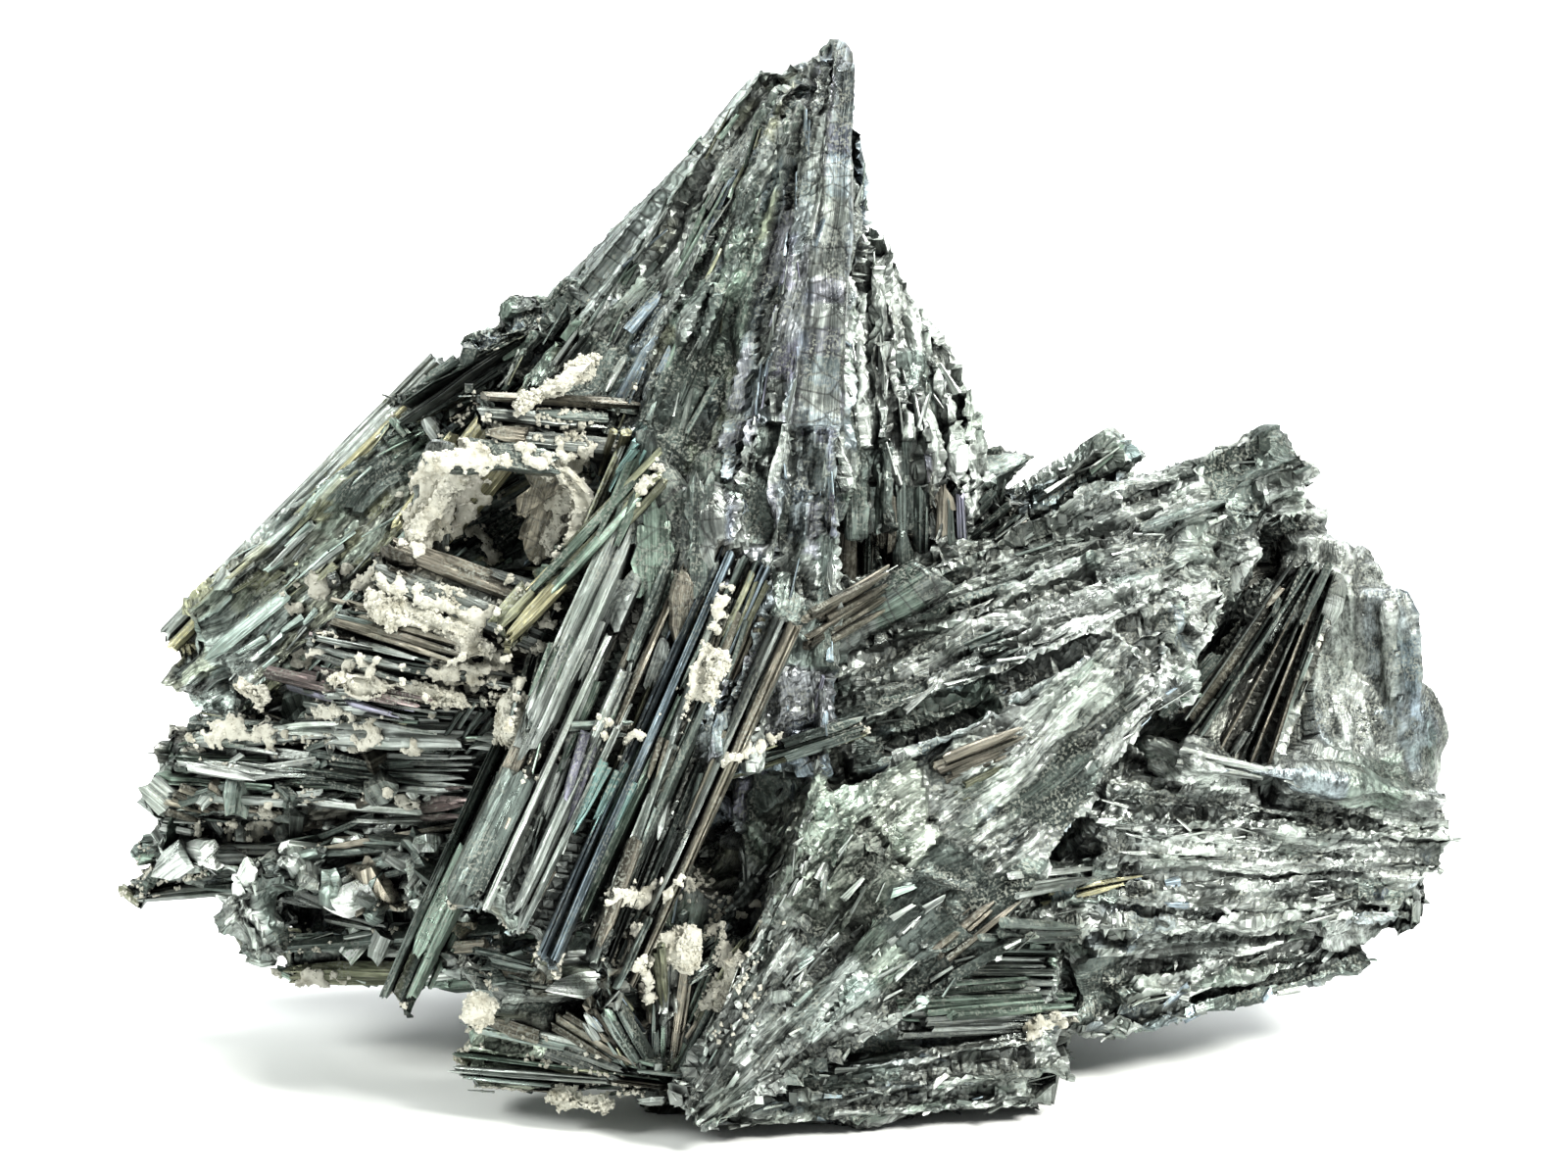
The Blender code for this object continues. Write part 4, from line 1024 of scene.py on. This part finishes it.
def addPlate(heap, rng, centre, along, facing, halfLength, halfWidth, thick, tone):
    rim, rings = plateLook["sides"], plateLook["rings"]
    along = unit(np.array(along, float))
    side = unit(np.cross(along, facing))
    face = np.cross(side, along)
    angle = np.arange(rim) * 2 * math.pi / rim
    circle = np.stack([np.cos(angle), np.sin(angle)], axis=1)
    knocks = 0
    for turns in plateLook["turns"]:
        waves = [np.cos(turns * angle), np.sin(turns * angle)]
        knocks = knocks + rng.normal(0, plateLook["knocks"] / turns ** 0.8, 2) @ waves
    reach = 1 + knocks + rng.uniform(-plateLook["ragged"], plateLook["ragged"], rim)
    reach = np.clip(reach, *plateLook["reach"])[:, None] * [halfWidth, halfLength]
    outline = np.sign(circle) * np.abs(circle) ** plateLook["squareness"] * reach
    flat = np.concatenate([outline * share for share, _ in rings] + [np.zeros((2, 2))])
    level = np.concatenate([np.full(rim, level) for _, level in rings] + [[-1.0, 0.0]]) * thick
    warped = np.stack([flat[:, 0], flat[:, 1], np.zeros(len(flat))], axis=1) + rng.uniform(0, 50, 3)
    level += layered(warped, plateLook["relief"])
    points = np.array(centre) + side * flat[:, :1] + along * flat[:, 1:] + face * level[:, None]
    shade = np.ones((len(points), 1)) * rng.uniform(*plateLook["shade"])
    # painted highlight: the rim of each plate is mostly made lighter, partly standing for chipped edges
    shade[rim:3 * rim] *= rng.uniform(*plateLook["rimShade"], (2 * rim, 1))
    cracks = np.full((len(points), 1), plateLook["cracks"])
    tint = np.concatenate([np.array(tones[tone]) * shade, cracks], axis=1)
    heap.add(points * mm, tubeFaces(rim, len(rings)), (flat + rng.uniform(0, 300, 2)) * mm, tint)


def buildPlates():
    rng = np.random.default_rng(plateLook["seed"])
    heap = Heap()
    for plate in plates:
        addPlate(heap, rng, *plate)
    heap.build("plates", stibnite, "stibnite")


buildPlates()

# Crystals that lie singly on the front: from and to across it (x and height), width in millimetres, tone.

laid = (
    (-11, 66, -25.5, 50.5, 2.3, "olive"), (-13.5, 63.5, -29.5, 46, 1.6, "green"),
    (-13, 67.5, -16, 62, 1.8, "teal"), (-14, 67.5, -17.5, 61, 1.2, "teal"),
    (-30, 40.5, -34, 34.5, 3, "graphite"), (-22, 48, -25, 40.5, 1.6, "green"),
    (-23.5, 47.5, -27, 35.5, 2.4, "graphite"), (-22.5, 37.5, -14.5, 38.5, 1, "graphite"),
    (-5, 52.5, -9, 40.5, 2.2, "brown"), (-4, 51.5, -7, 41, 1.6, "graphite"),
    (-2, 54.5, -6, 45, 1.6, "olive"), (-1.5, 53.5, -4.5, 44.5, 1.2, "gold"),
    (-21.5, 36, -25, 26, 2, "silver"), (-15.5, 35.5, -20, 26, 3.4, "teal"),
    (-19, 38, -22.5, 27, 1.4, "violet"), (-11, 38.5, -13, 32, 1.6, "brown"),
    (-46, 50.5, -31, 46, 2.2, "brown"), (-46.5, 49, -32.5, 45, 1.6, "graphite"),
    (-49, 47.5, -35, 43.5, 1.8, "steel"), (-51.5, 44.5, -35, 40.5, 2.2, "rose"),
    (-50.5, 43, -36.5, 39.5, 1.6, "violet"), (-48.5, 41, -34.5, 38.5, 2, "steel"),
    (-61, 35.5, -50.5, 34, 3.6, "silver"), (-59, 38, -52.5, 37, 2.4, "graphite"),
    (-50, 34.5, -39.5, 33, 3.2, "graphite"), (-41.5, 33.5, -29.5, 33, 3.4, "steel"),
    (-37, 30, -31, 30.5, 2.6, "rose"), (-62.5, 31, -57, 29, 2.8, "brown"),
    (-64, 29, -58, 28.5, 2.4, "silver"), (-46.5, 17.5, -40, 16, 2.4, "silver"),
    (-32.5, 13, -24, 10.5, 3.6, "graphite"), (2, 47.5, 11.5, 53.5, 4.2, "brown"),
    (15, 33, 25, 37, 3.2, "brown"), (17, 31, 23.5, 33.5, 1.4, "olive"),
    (18, 45, 23.5, 47.5, 3.2, "graphite"), (36, 36, 50.5, 33, 1.2, "steel"),
    (22, 20.7, 32, 22.8, 1.8, "steel"), (24, 19.5, 37.5, 22.5, 1.2, "gold"),
    (-3.5, 18, -11.5, 11.5, 3.6, "graphite"), (-13.5, 16.5, -12.5, 6.5, 1.4, "olive"),
    (-12, 16, -11, 6, 1.2, "silver"), (14, 13, 23.5, 21, 2, "brown"),
    (22.5, 21.5, 32.5, 22.5, 1.5, "silver"), (21, 16.5, 30.5, 16, 2.4, "graphite"),
    (11.5, 9, 31, 10.5, 3.4, "green"), (10, 6.5, 30.5, 7.5, 2, "steel"), (-24, 7.5, -15, 1.5, 2.4, "brown"),
    (-24.5, 4.5, -16, 1, 2, "steel"), (-14.5, 69, -20, 56, 1.8, "olive"),
    (-13.5, 67, -19, 54, 1.6, "green"), (-16, 69, -18.5, 62, 1.2, "gold"),
)
laidLook = {  # millimetres and shares of a crystal
    "seed": 51, "plane": -12, "tries": 9, "tryRange": (0.05, 0.95), "depth": 0.25, "roll": 0.25,
    "partWidth": 0.55, "partShift": 0.2, "sink": (-0.6, 0.15), "begin": (0, 0.25), "end": (0.75, 1.0),
    "bend": 0.25, "width": (0.5, 1.1), "shade": (0.45, 1.3), "twist": 0.3, "taper": 0.8, "thickness": 1.1,
    "shape": {"across": 3, "rings": 4, "groove": 0.15, "sway": 0.08, "torn": 1.2, "nip": 0.5},
}


def seenLine(tree, eye, x, height, toX, toHeight):  # where a line across the front lies on the cluster
    ends = np.array(((x, laidLook["plane"], height), (toX, laidLook["plane"], toHeight)))
    ends = unit(ends * mm - eye)
    shares, reaches = [], []
    for share in np.linspace(*laidLook["tryRange"], laidLook["tries"]):
        hit, _, _, reach = tree.ray_cast(Vector(eye), Vector(unit(ends[0] * (1 - share) + ends[1] * share)))
        if hit is not None:
            shares.append(share)
            reaches.append(reach)
    slope, base = np.polyfit(shares, reaches, 1)
    base += np.quantile(reaches - slope * np.array(shares) - base, laidLook["depth"])
    return eye + ends[0] * base, eye + ends[1] * (base + slope)


def buildLaid():
    rng = np.random.default_rng(laidLook["seed"])
    tree = treeOf(solidParts)
    eye = np.array(bpy.context.scene.camera.location)
    rows = []
    for x, height, toX, toHeight, wide, tone in laid:
        start, stop = seenLine(tree, eye, x, height, toX, toHeight)
        side = unit(np.cross(unit(stop - start), unit(eye - start) + rng.normal(0, laidLook["roll"], 3)))
        face = np.cross(side, unit(stop - start))
        parts = max(2, round(wide / laidLook["partWidth"]))
        unevenly = rng.uniform(-laidLook["partShift"], laidLook["partShift"], parts)
        for at in (np.arange(parts) + unevenly) / (parts - 1) - 0.5:
            shift = side * at * wide * mm + face * rng.uniform(*laidLook["sink"]) * mm
            low, high = rng.uniform(*laidLook["begin"]), rng.uniform(*laidLook["end"])
            bend = side * rng.normal(0, laidLook["bend"]) * mm
            first = start * (1 - low) + stop * low + shift
            last = start * (1 - high) + stop * high + shift + bend
            rows.append((first, last, side, face, rng.uniform(*laidLook["width"]),
                         np.array(tones[tone]) * rng.uniform(*laidLook["shade"])))
    start, stop, side, face, wide, tint = (np.array(column) for column in zip(*rows))
    side = unit(side + face * rng.normal(0, laidLook["twist"], (len(rows), 1)))
    face = unit(np.cross(side, stop - start))
    width = np.stack([wide, wide * laidLook["taper"]], axis=1) * mm
    heap = Heap()
    thick = width * laidLook["thickness"]
    addBlades(heap, rng, start, stop, side, face, width, thick, tint, laidLook["shape"])
    heap.build("laid_crystals", stibnite, "stibnite")


buildLaid()

# Splinters cover the rest of the surface: they lie along the crystals there, or stand out of broken ends.

splinters = {  # sizes in millimetres; limits say how far the start, middle and end may stand out of the mass
    "count": 19000, "seed": 21, "width": (0.25, 1.1), "thickness": (0.2, 0.7), "stub": (1.0, 2.6),
    "length": {"prism": (3, 9), "fibrous": (2.5, 8), "bark": (2.5, 7), "sugary": (1.5, 5), "rind": (1, 3),
               "smooth": (1.5, 4), "broken": (2, 7), "dusty": (2.5, 8), "needles": (3, 9),
               "sparry": (1, 3.5)},
    "shortness": 1.6, "widest": 0.7, "endTilt": 0.15, "faceTilt": 1.2, "sink": (-0.5, 0.0),
    "stubBack": 0.8, "taper": 0.8, "thinning": 0.7, "flatFacing": -0.9, "endFacing": 0.75, "sunk": 0.3,
    "limits": (0.9, 0.5, 1.1), "shade": (0.55, 1.2), "highest": 98, "flatBelow": 0.5, "backFacing": 0.3,
    "backShare": 0.5,
    "shape": {"across": 1, "rings": 2, "groove": 0.16, "sway": 0.08, "torn": 1.0, "nip": 0.7},
}


def surfaceSamples(thing, count, rng):  # places spread evenly over a surface, and which way it faces there
    mesh = thing.data
    mesh.calc_loop_triangles()
    corners = readRows(mesh.loop_triangles, "vertices", np.int32)
    corners = readRows(mesh.vertices, "co", np.float32)[corners].astype(float)
    normal = np.cross(corners[:, 1] - corners[:, 0], corners[:, 2] - corners[:, 0])
    area = np.linalg.norm(normal, axis=1)
    picked = rng.choice(len(area), count, p=area / area.sum())
    u, v = rng.random((2, count, 1))
    swap = u + v > 1
    u, v = np.where(swap, 1 - u, u), np.where(swap, 1 - v, v)
    corners = corners[picked]
    places = corners[:, 0] + u * (corners[:, 1] - corners[:, 0]) + v * (corners[:, 2] - corners[:, 0])
    return places, unit(normal[picked])


def buildSplinters():
    rng = np.random.default_rng(splinters["seed"])
    places, normals = surfaceSamples(cluster, splinters["count"], rng)
    which, kinds, _, direction = locate(places)
    sparse = np.where(normals[:, 1] > splinters["backFacing"], splinters["backShare"], 1)
    keep = rng.random(len(places)) < perKind(kinds, "splinters") * sparse
    keep &= ~((places[:, 2] < splinters["flatBelow"] * mm) & (normals[:, 2] < splinters["flatFacing"]))
    keep &= places[:, 2] < splinters["highest"] * mm
    places, normals, direction, kinds, which = (
        rows[keep] for rows in (places, normals, direction, kinds, which))
    count = len(places)
    facing = np.sum(direction * normals, axis=1, keepdims=True)
    tilt = perKind(kinds, "splinterTilt")[:, None]
    lying = unit(direction - facing * normals + rng.normal(0, 1, (count, 3)) * tilt)
    upright = unit(direction * np.sign(facing) + rng.normal(0, splinters["endTilt"], (count, 3)))
    isEnd = np.abs(facing) > splinters["endFacing"]
    axis = np.where(isEnd, upright, lying)
    face = unit(normals + rng.normal(0, 1, (count, 3)) * tilt * splinters["faceTilt"])
    side = unit(np.cross(axis, np.where(isEnd, rng.normal(0, 1, (count, 3)), face)))
    face = np.cross(side, axis)
    ranges = np.array([splinters["length"][growth] for growth in growthNames], float)[kinds]
    length = ranges[:, 0] + (ranges[:, 1] - ranges[:, 0]) * rng.random(count) ** splinters["shortness"]
    length = np.where(isEnd[:, 0], rng.uniform(*splinters["stub"], count), length) * mm
    width = np.minimum(rng.uniform(*splinters["width"], count) * mm, length * splinters["widest"])
    thick = np.minimum(rng.uniform(*splinters["thickness"], count) * mm, width)
    depth = rng.uniform(*splinters["sink"], (count, 1)) - splinters["sunk"] * perKind(kinds, "inset")[:, None]
    middle = places + normals * depth * mm
    start = middle - axis * (length * np.where(isEnd[:, 0], splinters["stubBack"], 0.5))[:, None]
    stop = start + axis * length[:, None]
    limits = zip((start, middle, stop), splinters["limits"])
    kept = np.all([standing(spot) < limit for spot, limit in limits], axis=0)
    kinds, which = kinds[kept], which[kept]
    width = np.stack([width, width * splinters["taper"]], axis=1)
    thick = np.stack([thick, thick * splinters["thinning"]], axis=1)
    tint = toneFor(kinds, which, rng.random(len(kinds))) * rng.uniform(*splinters["shade"], (len(kinds), 1))
    rows = [rows[kept] for rows in (start, stop, side, face, width, thick)] + [tint]
    half = len(tint) // 2
    for label, part in (("splinters_a", slice(0, half)), ("splinters_b", slice(half, None))):
        heap = Heap()
        addBlades(heap, rng, *(row[part] for row in rows), splinters["shape"])
        heap.build(label, stibnite, "stibnite")


buildSplinters()

# Broken bits of crystal lie where the cluster is rubbly.

rubble = {  # how many on each bundle, and their lengths in millimetres
    "left_lumps": (75, 2.5, 6.5), "left_stub": (20, 2.0, 5.0), "left_underside": (30, 1.5, 4.0),
    "left_tail": (25, 1.5, 4.0), "left_low": (50, 2.0, 5.0), "fan_sweep": (50, 1.0, 2.6),
    "foot_upper": (12, 1.0, 2.5), "upper_left": (25, 1.5, 4.0), "spire_edge": (16, 0.8, 2.0),
    "lobe_low": (30, 1.0, 2.6), "lobe_bottom": (25, 1.0, 2.6), "fan_ledge": (20, 1.0, 2.5),
    "back_foot": (60, 1.5, 4.0), "back_left_low": (40, 1.5, 4.5), "back_right_low": (40, 1.5, 4.5),
    "back_left_high": (30, 1.5, 4.5), "back_right_high": (30, 1.5, 4.5), "front_plates": (30, 1.0, 3.0),
    "left_high": (55, 2.0, 5.5), "left_slab": (20, 1.0, 3.0), "back_flank": (20, 1.5, 4.0),
    "back_spire": (25, 1.0, 3.5),
}
rubbleLook = {
    "seed": 33, "tries": 30000, "above": 0.002, "lean": 0.6, "width": (0.35, 0.8), "sunk": 0.25, "deepest": 3,
    "mayStandOut": 0.3, "shade": (0.5, 2.0), "taper": 0.9, "thickness": 0.7,
    "shape": {"across": 3, "rings": 3, "groove": 0.12, "sway": 0.06, "torn": 0.5, "nip": 0.8},
}


def buildRubble():
    rng = np.random.default_rng(rubbleLook["seed"])
    places, normals = surfaceSamples(cluster, rubbleLook["tries"], rng)
    which, kinds, _, direction = locate(places)
    heap = Heap()
    for name, (most, shortest, longest) in rubble.items():
        here = np.flatnonzero(inBundle(which, name) & (places[:, 2] > rubbleLook["above"]))[:most]
        count = len(here)
        axis = unit(direction[here] * rubbleLook["lean"] + rng.normal(0, rubbleLook["lean"], (count, 3)))
        side = unit(np.cross(axis, rng.normal(0, 1, (count, 3))))
        length = rng.uniform(shortest, longest, count) * mm
        width = length * rng.uniform(*rubbleLook["width"], count)
        middle = places[here] - normals[here] * (width * rubbleLook["sunk"])[:, None]
        gap = np.clip(standing(middle), 0, rubbleLook["deepest"]) * mm  # as deep as the mass lies
        middle -= normals[here] * gap[:, None]
        kept = standing(middle) * mm < rubbleLook["mayStandOut"] * width
        here, middle, axis, side, length, width = (
            rows[kept] for rows in (here, middle, axis, side, length, width))
        count = len(here)
        start = middle - axis * (length * 0.5)[:, None]
        stop = start + axis * length[:, None]
        tint = toneFor(kinds[here], which[here], rng.random(count))
        tint = tint * rng.uniform(*rubbleLook["shade"], (count, 1))
        size = np.stack([width, width * rubbleLook["taper"]], axis=1)
        thick = size * rubbleLook["thickness"]
        addBlades(heap, rng, start, stop, side, np.cross(side, axis), size, thick, tint, rubbleLook["shape"])
    heap.build("broken_bits", stibnite, "stibnite")


buildRubble()

# The pale crusts: a lumpy bed with each solid's shape, and small grains that land on the crystals around it.

crustLook = {  # millimetres, but scales of noise in metres
    "voxel": 0.33, "lumps": 0.6, "knobs": 0.3, "erode": 1.9, "thin": 1.25, "size": (0.14, 0.36),
    "lumpScale": 0.0015, "knobScale": 0.0006, "erodeScale": 0.0045, "grainShare": 0.3, "anchors": 60,
    "thinner": {"crust_stub": -0.7, "crust_pocket": 0.8, "crust_lintel": 0.35}, "reach": 3.2, "spots": 300000,
    "seed": 40, "patches": ((1, 0.003, 9), (0.5, 0.001, 10)), "nearPatch": (0.15, 0.6),
    "searchFrom": 0.003, "dustDepth": 0.0003, "dustPatch": 0.75,
    "dusted": {  # patches in the cracks of these bundles; a greater share gives more
        "left_high": 0.35, "left_low": 0.35, "left_tail": 0.3, "fan_mid": 0.5, "fan_low": 0.5, "sill": 0.3,
        "left_lumps": 0.3, "foot_left": 0.45, "foot_upper": 0.4, "foot_upper_right": 0.4, "front_blades": 0.2,
        "upper_left": 0.25, "lintel": 0.5, "left_underside": 0.3, "front_edge": 0.2, "crossing_needle": 0.5,
    },
}
grainCorners = np.array(sixWays, float)
grainSides = np.array([(0, 2, 4), (2, 1, 4), (1, 3, 4), (3, 0, 4),
                       (2, 0, 5), (1, 2, 5), (3, 1, 5), (0, 3, 5)])
grainStretch = (0.7, 1.3)


def addGrains(heap, rng, places, scale=1.0):  # eight-sided grains
    count = len(places)
    size = rng.uniform(*crustLook["size"], count) * mm * scale
    if count == 0:
        return
    turn = np.linalg.qr(rng.normal(0, 1, (count, 3, 3)))[0]
    turn[np.linalg.det(turn) < 0, :, 0] *= -1
    stretch = rng.uniform(*grainStretch, (count, 6, 1))
    points = places[:, None] + np.einsum("kij,vj->kvi", turn, grainCorners) * stretch * size[:, None, None]
    heap.add(points, grainSides[None] + (np.arange(count) * 6)[:, None, None])


sheets = (  # thin crusts along cracks, in millimetres: from and to (x and height), half width
    (-43.5, 54, -32.5, 49.5, 1.3), (-32.5, 49.5, -28.5, 48, 1.0), (-49.5, 50.5, -45.5, 53.5, 1.4),
    (-48.5, 45.5, -37, 43, 1.2), (-35, 42.5, -29.5, 50, 1.5), (-59, 36, -54.5, 39, 1.3),
    (-54.5, 39, -51, 37, 1.5), (-44, 36.5, -36.5, 36, 0.8), (-58.5, 27.5, -52.5, 27, 0.8),
    (-52.5, 27, -51.5, 30, 1.0), (-54, 12, -44.5, 11.5, 0.7), (-33, 66.5, -21, 66, 1.2),
    (-20.5, 68.5, -19.5, 64, 1.3), (-19.5, 64, -23, 60, 1.3), (-23, 60, -23.5, 55, 1.0),
    (-31.5, 60, -26.5, 52.5, 0.6), (-35, 40, -27.5, 46, 1.5), (-23, 50.5, -28.5, 37, 0.7),
    (-16.5, 59.5, -12, 65.5, 0.6), (-5.5, 53, -9, 41, 0.7), (-18.5, 38.5, -15, 37.5, 1.1),
    (-6, 34.5, -0.5, 37, 0.6), (-17.5, 19.5, -10, 21.5, 1.2), (-15, 17, -14, 9, 0.7),
    (-7.5, 16.5, -3.5, 19, 0.9), (-5.5, 17, -6, 13, 0.7), (-8.5, 8.5, -6.5, 11, 0.7),
    (25, 6, 29.5, 8, 0.9), (-31.5, 65, -34.5, 58, 2.9), (-33, 65, -36, 58.5, 2.6),
    (-47, 40, -41, 38.5, 0.8), (-40, 31, -36, 30, 0.7),
)
sheetLook = {  # millimetres, but the scale of the relief in metres
    "plane": -12, "perArea": 10, "patches": ((1, 1.4, 71), (0.5, 0.7, 73)), "broad": 2, "gaps": -0.15,
    "gapsIfBroad": -0.6, "ballSize": (0.22, 0.6), "raised": 0.1, "voxel": 0.27, "relief": 0.12,
    "reliefScale": 0.0006, "grainShare": 0.12, "grainSize": 0.8,
}


def ballMesh(centres, rng):  # a small ball at each place, just above the crystal there
    form = bmesh.new()
    for centre, normal in centres:
        radius = rng.uniform(*sheetLook["ballSize"]) * mm
        for vertex in bmesh.ops.create_icosphere(form, subdivisions=1, radius=radius)["verts"]:
            vertex.co += centre + normal * radius * sheetLook["raised"]
    mesh = bpy.data.meshes.new("balls")
    form.to_mesh(mesh)
    form.free()
    return mesh


def buildSheets(tree, rng):
    eye = bpy.context.scene.camera.location
    centres = []
    for x, height, toX, toHeight, half in sheets:
        start = np.array((x, sheetLook["plane"], height))
        stop = np.array((toX, sheetLook["plane"], toHeight))
        count = int(np.linalg.norm(stop - start) * half * sheetLook["perArea"])
        along = rng.uniform(0, 1, count)
        spot = start + (stop - start) * along[:, None] + rng.uniform(-1, 1, (count, 3)) * half * (1, 0, 1)
        limit = sheetLook["gaps" if half < sheetLook["broad"] else "gapsIfBroad"]
        for place in spot[layered(spot, sheetLook["patches"]) > limit] * mm:
            hit, normal, *_ = tree.ray_cast(eye, Vector(place) - eye)
            if hit is not None:
                centres.append((hit, normal))
    balls = ballMesh(centres, rng)
    points, normals, faces = remeshed(balls, sheetLook["voxel"] * mm)
    bpy.data.meshes.remove(balls)
    relief = sheetLook["relief"] * softNoise(points, sheetLook["reliefScale"], 72)
    points = points + normals * relief[:, None] * mm
    heap = Heap()
    heap.add(points, faces)
    picked = rng.integers(0, len(points), int(len(points) * sheetLook["grainShare"]))
    addGrains(heap, rng, points[picked], sheetLook["grainSize"])
    heap.build("druse_sheets", druse, "druse")


def landed(tree, places, normals, depth=0.0):  # moves each place in to the crystal there, if it lies so deep
    found = []
    start = crustLook["searchFrom"]
    for place, normal in zip(places, normals):
        hit, _, _, reach = tree.ray_cast(Vector(place + normal * start), Vector(-normal), 2 * start)
        if hit is not None and reach >= start + depth:
            found.append(hit)
    return np.array(found).reshape(-1, 3)


def buildCrusts():
    tree = treeOf(solidParts)
    rng = np.random.default_rng(crustLook["seed"])
    spots, spotNormals = surfaceSamples(cluster, crustLook["spots"], rng)
    patch = layered(spots, crustLook["patches"])
    for name in crustNodes:
        points, normals, faces = remeshed(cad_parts[name].data, crustLook["voxel"] * mm)
        height = crustLook["lumps"] * softNoise(points, crustLook["lumpScale"], 21)
        height += crustLook["knobs"] * softNoise(points, crustLook["knobScale"], 22)
        height += crustLook["erode"] * softNoise(points, crustLook["erodeScale"], 23) - crustLook["thin"]
        height -= crustLook["thinner"].get(name, 0)
        bed = points + normals * height[:, None] * mm
        heap = Heap()
        heap.add(bed, faces)
        picked = rng.integers(0, len(bed), int(len(bed) * crustLook["grainShare"]))
        addGrains(heap, rng, bed[picked])
        distance = np.full(len(spots), np.inf)
        for anchor in points[::max(1, len(points) // crustLook["anchors"])]:
            distance = np.minimum(distance, np.linalg.norm(spots - anchor, axis=1))
        base, rise = crustLook["nearPatch"]
        near = patch > base + rise * distance / (crustLook["reach"] * mm)
        addGrains(heap, rng, landed(tree, spots[near], spotNormals[near]))
        piece = heap.build("druse" + name[5:], druse, "druse")
        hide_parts(name)
    buildSheets(tree, rng)
    dust = Heap()
    which = locate(spots)[0]
    for name, share in crustLook["dusted"].items():
        here = inBundle(which, name) & (patch > crustLook["dustPatch"] - share)
        addGrains(dust, rng, landed(tree, spots[here], spotNormals[here], crustLook["dustDepth"]))
    dust.build("druse_dust", druse, "druse")


buildCrusts()
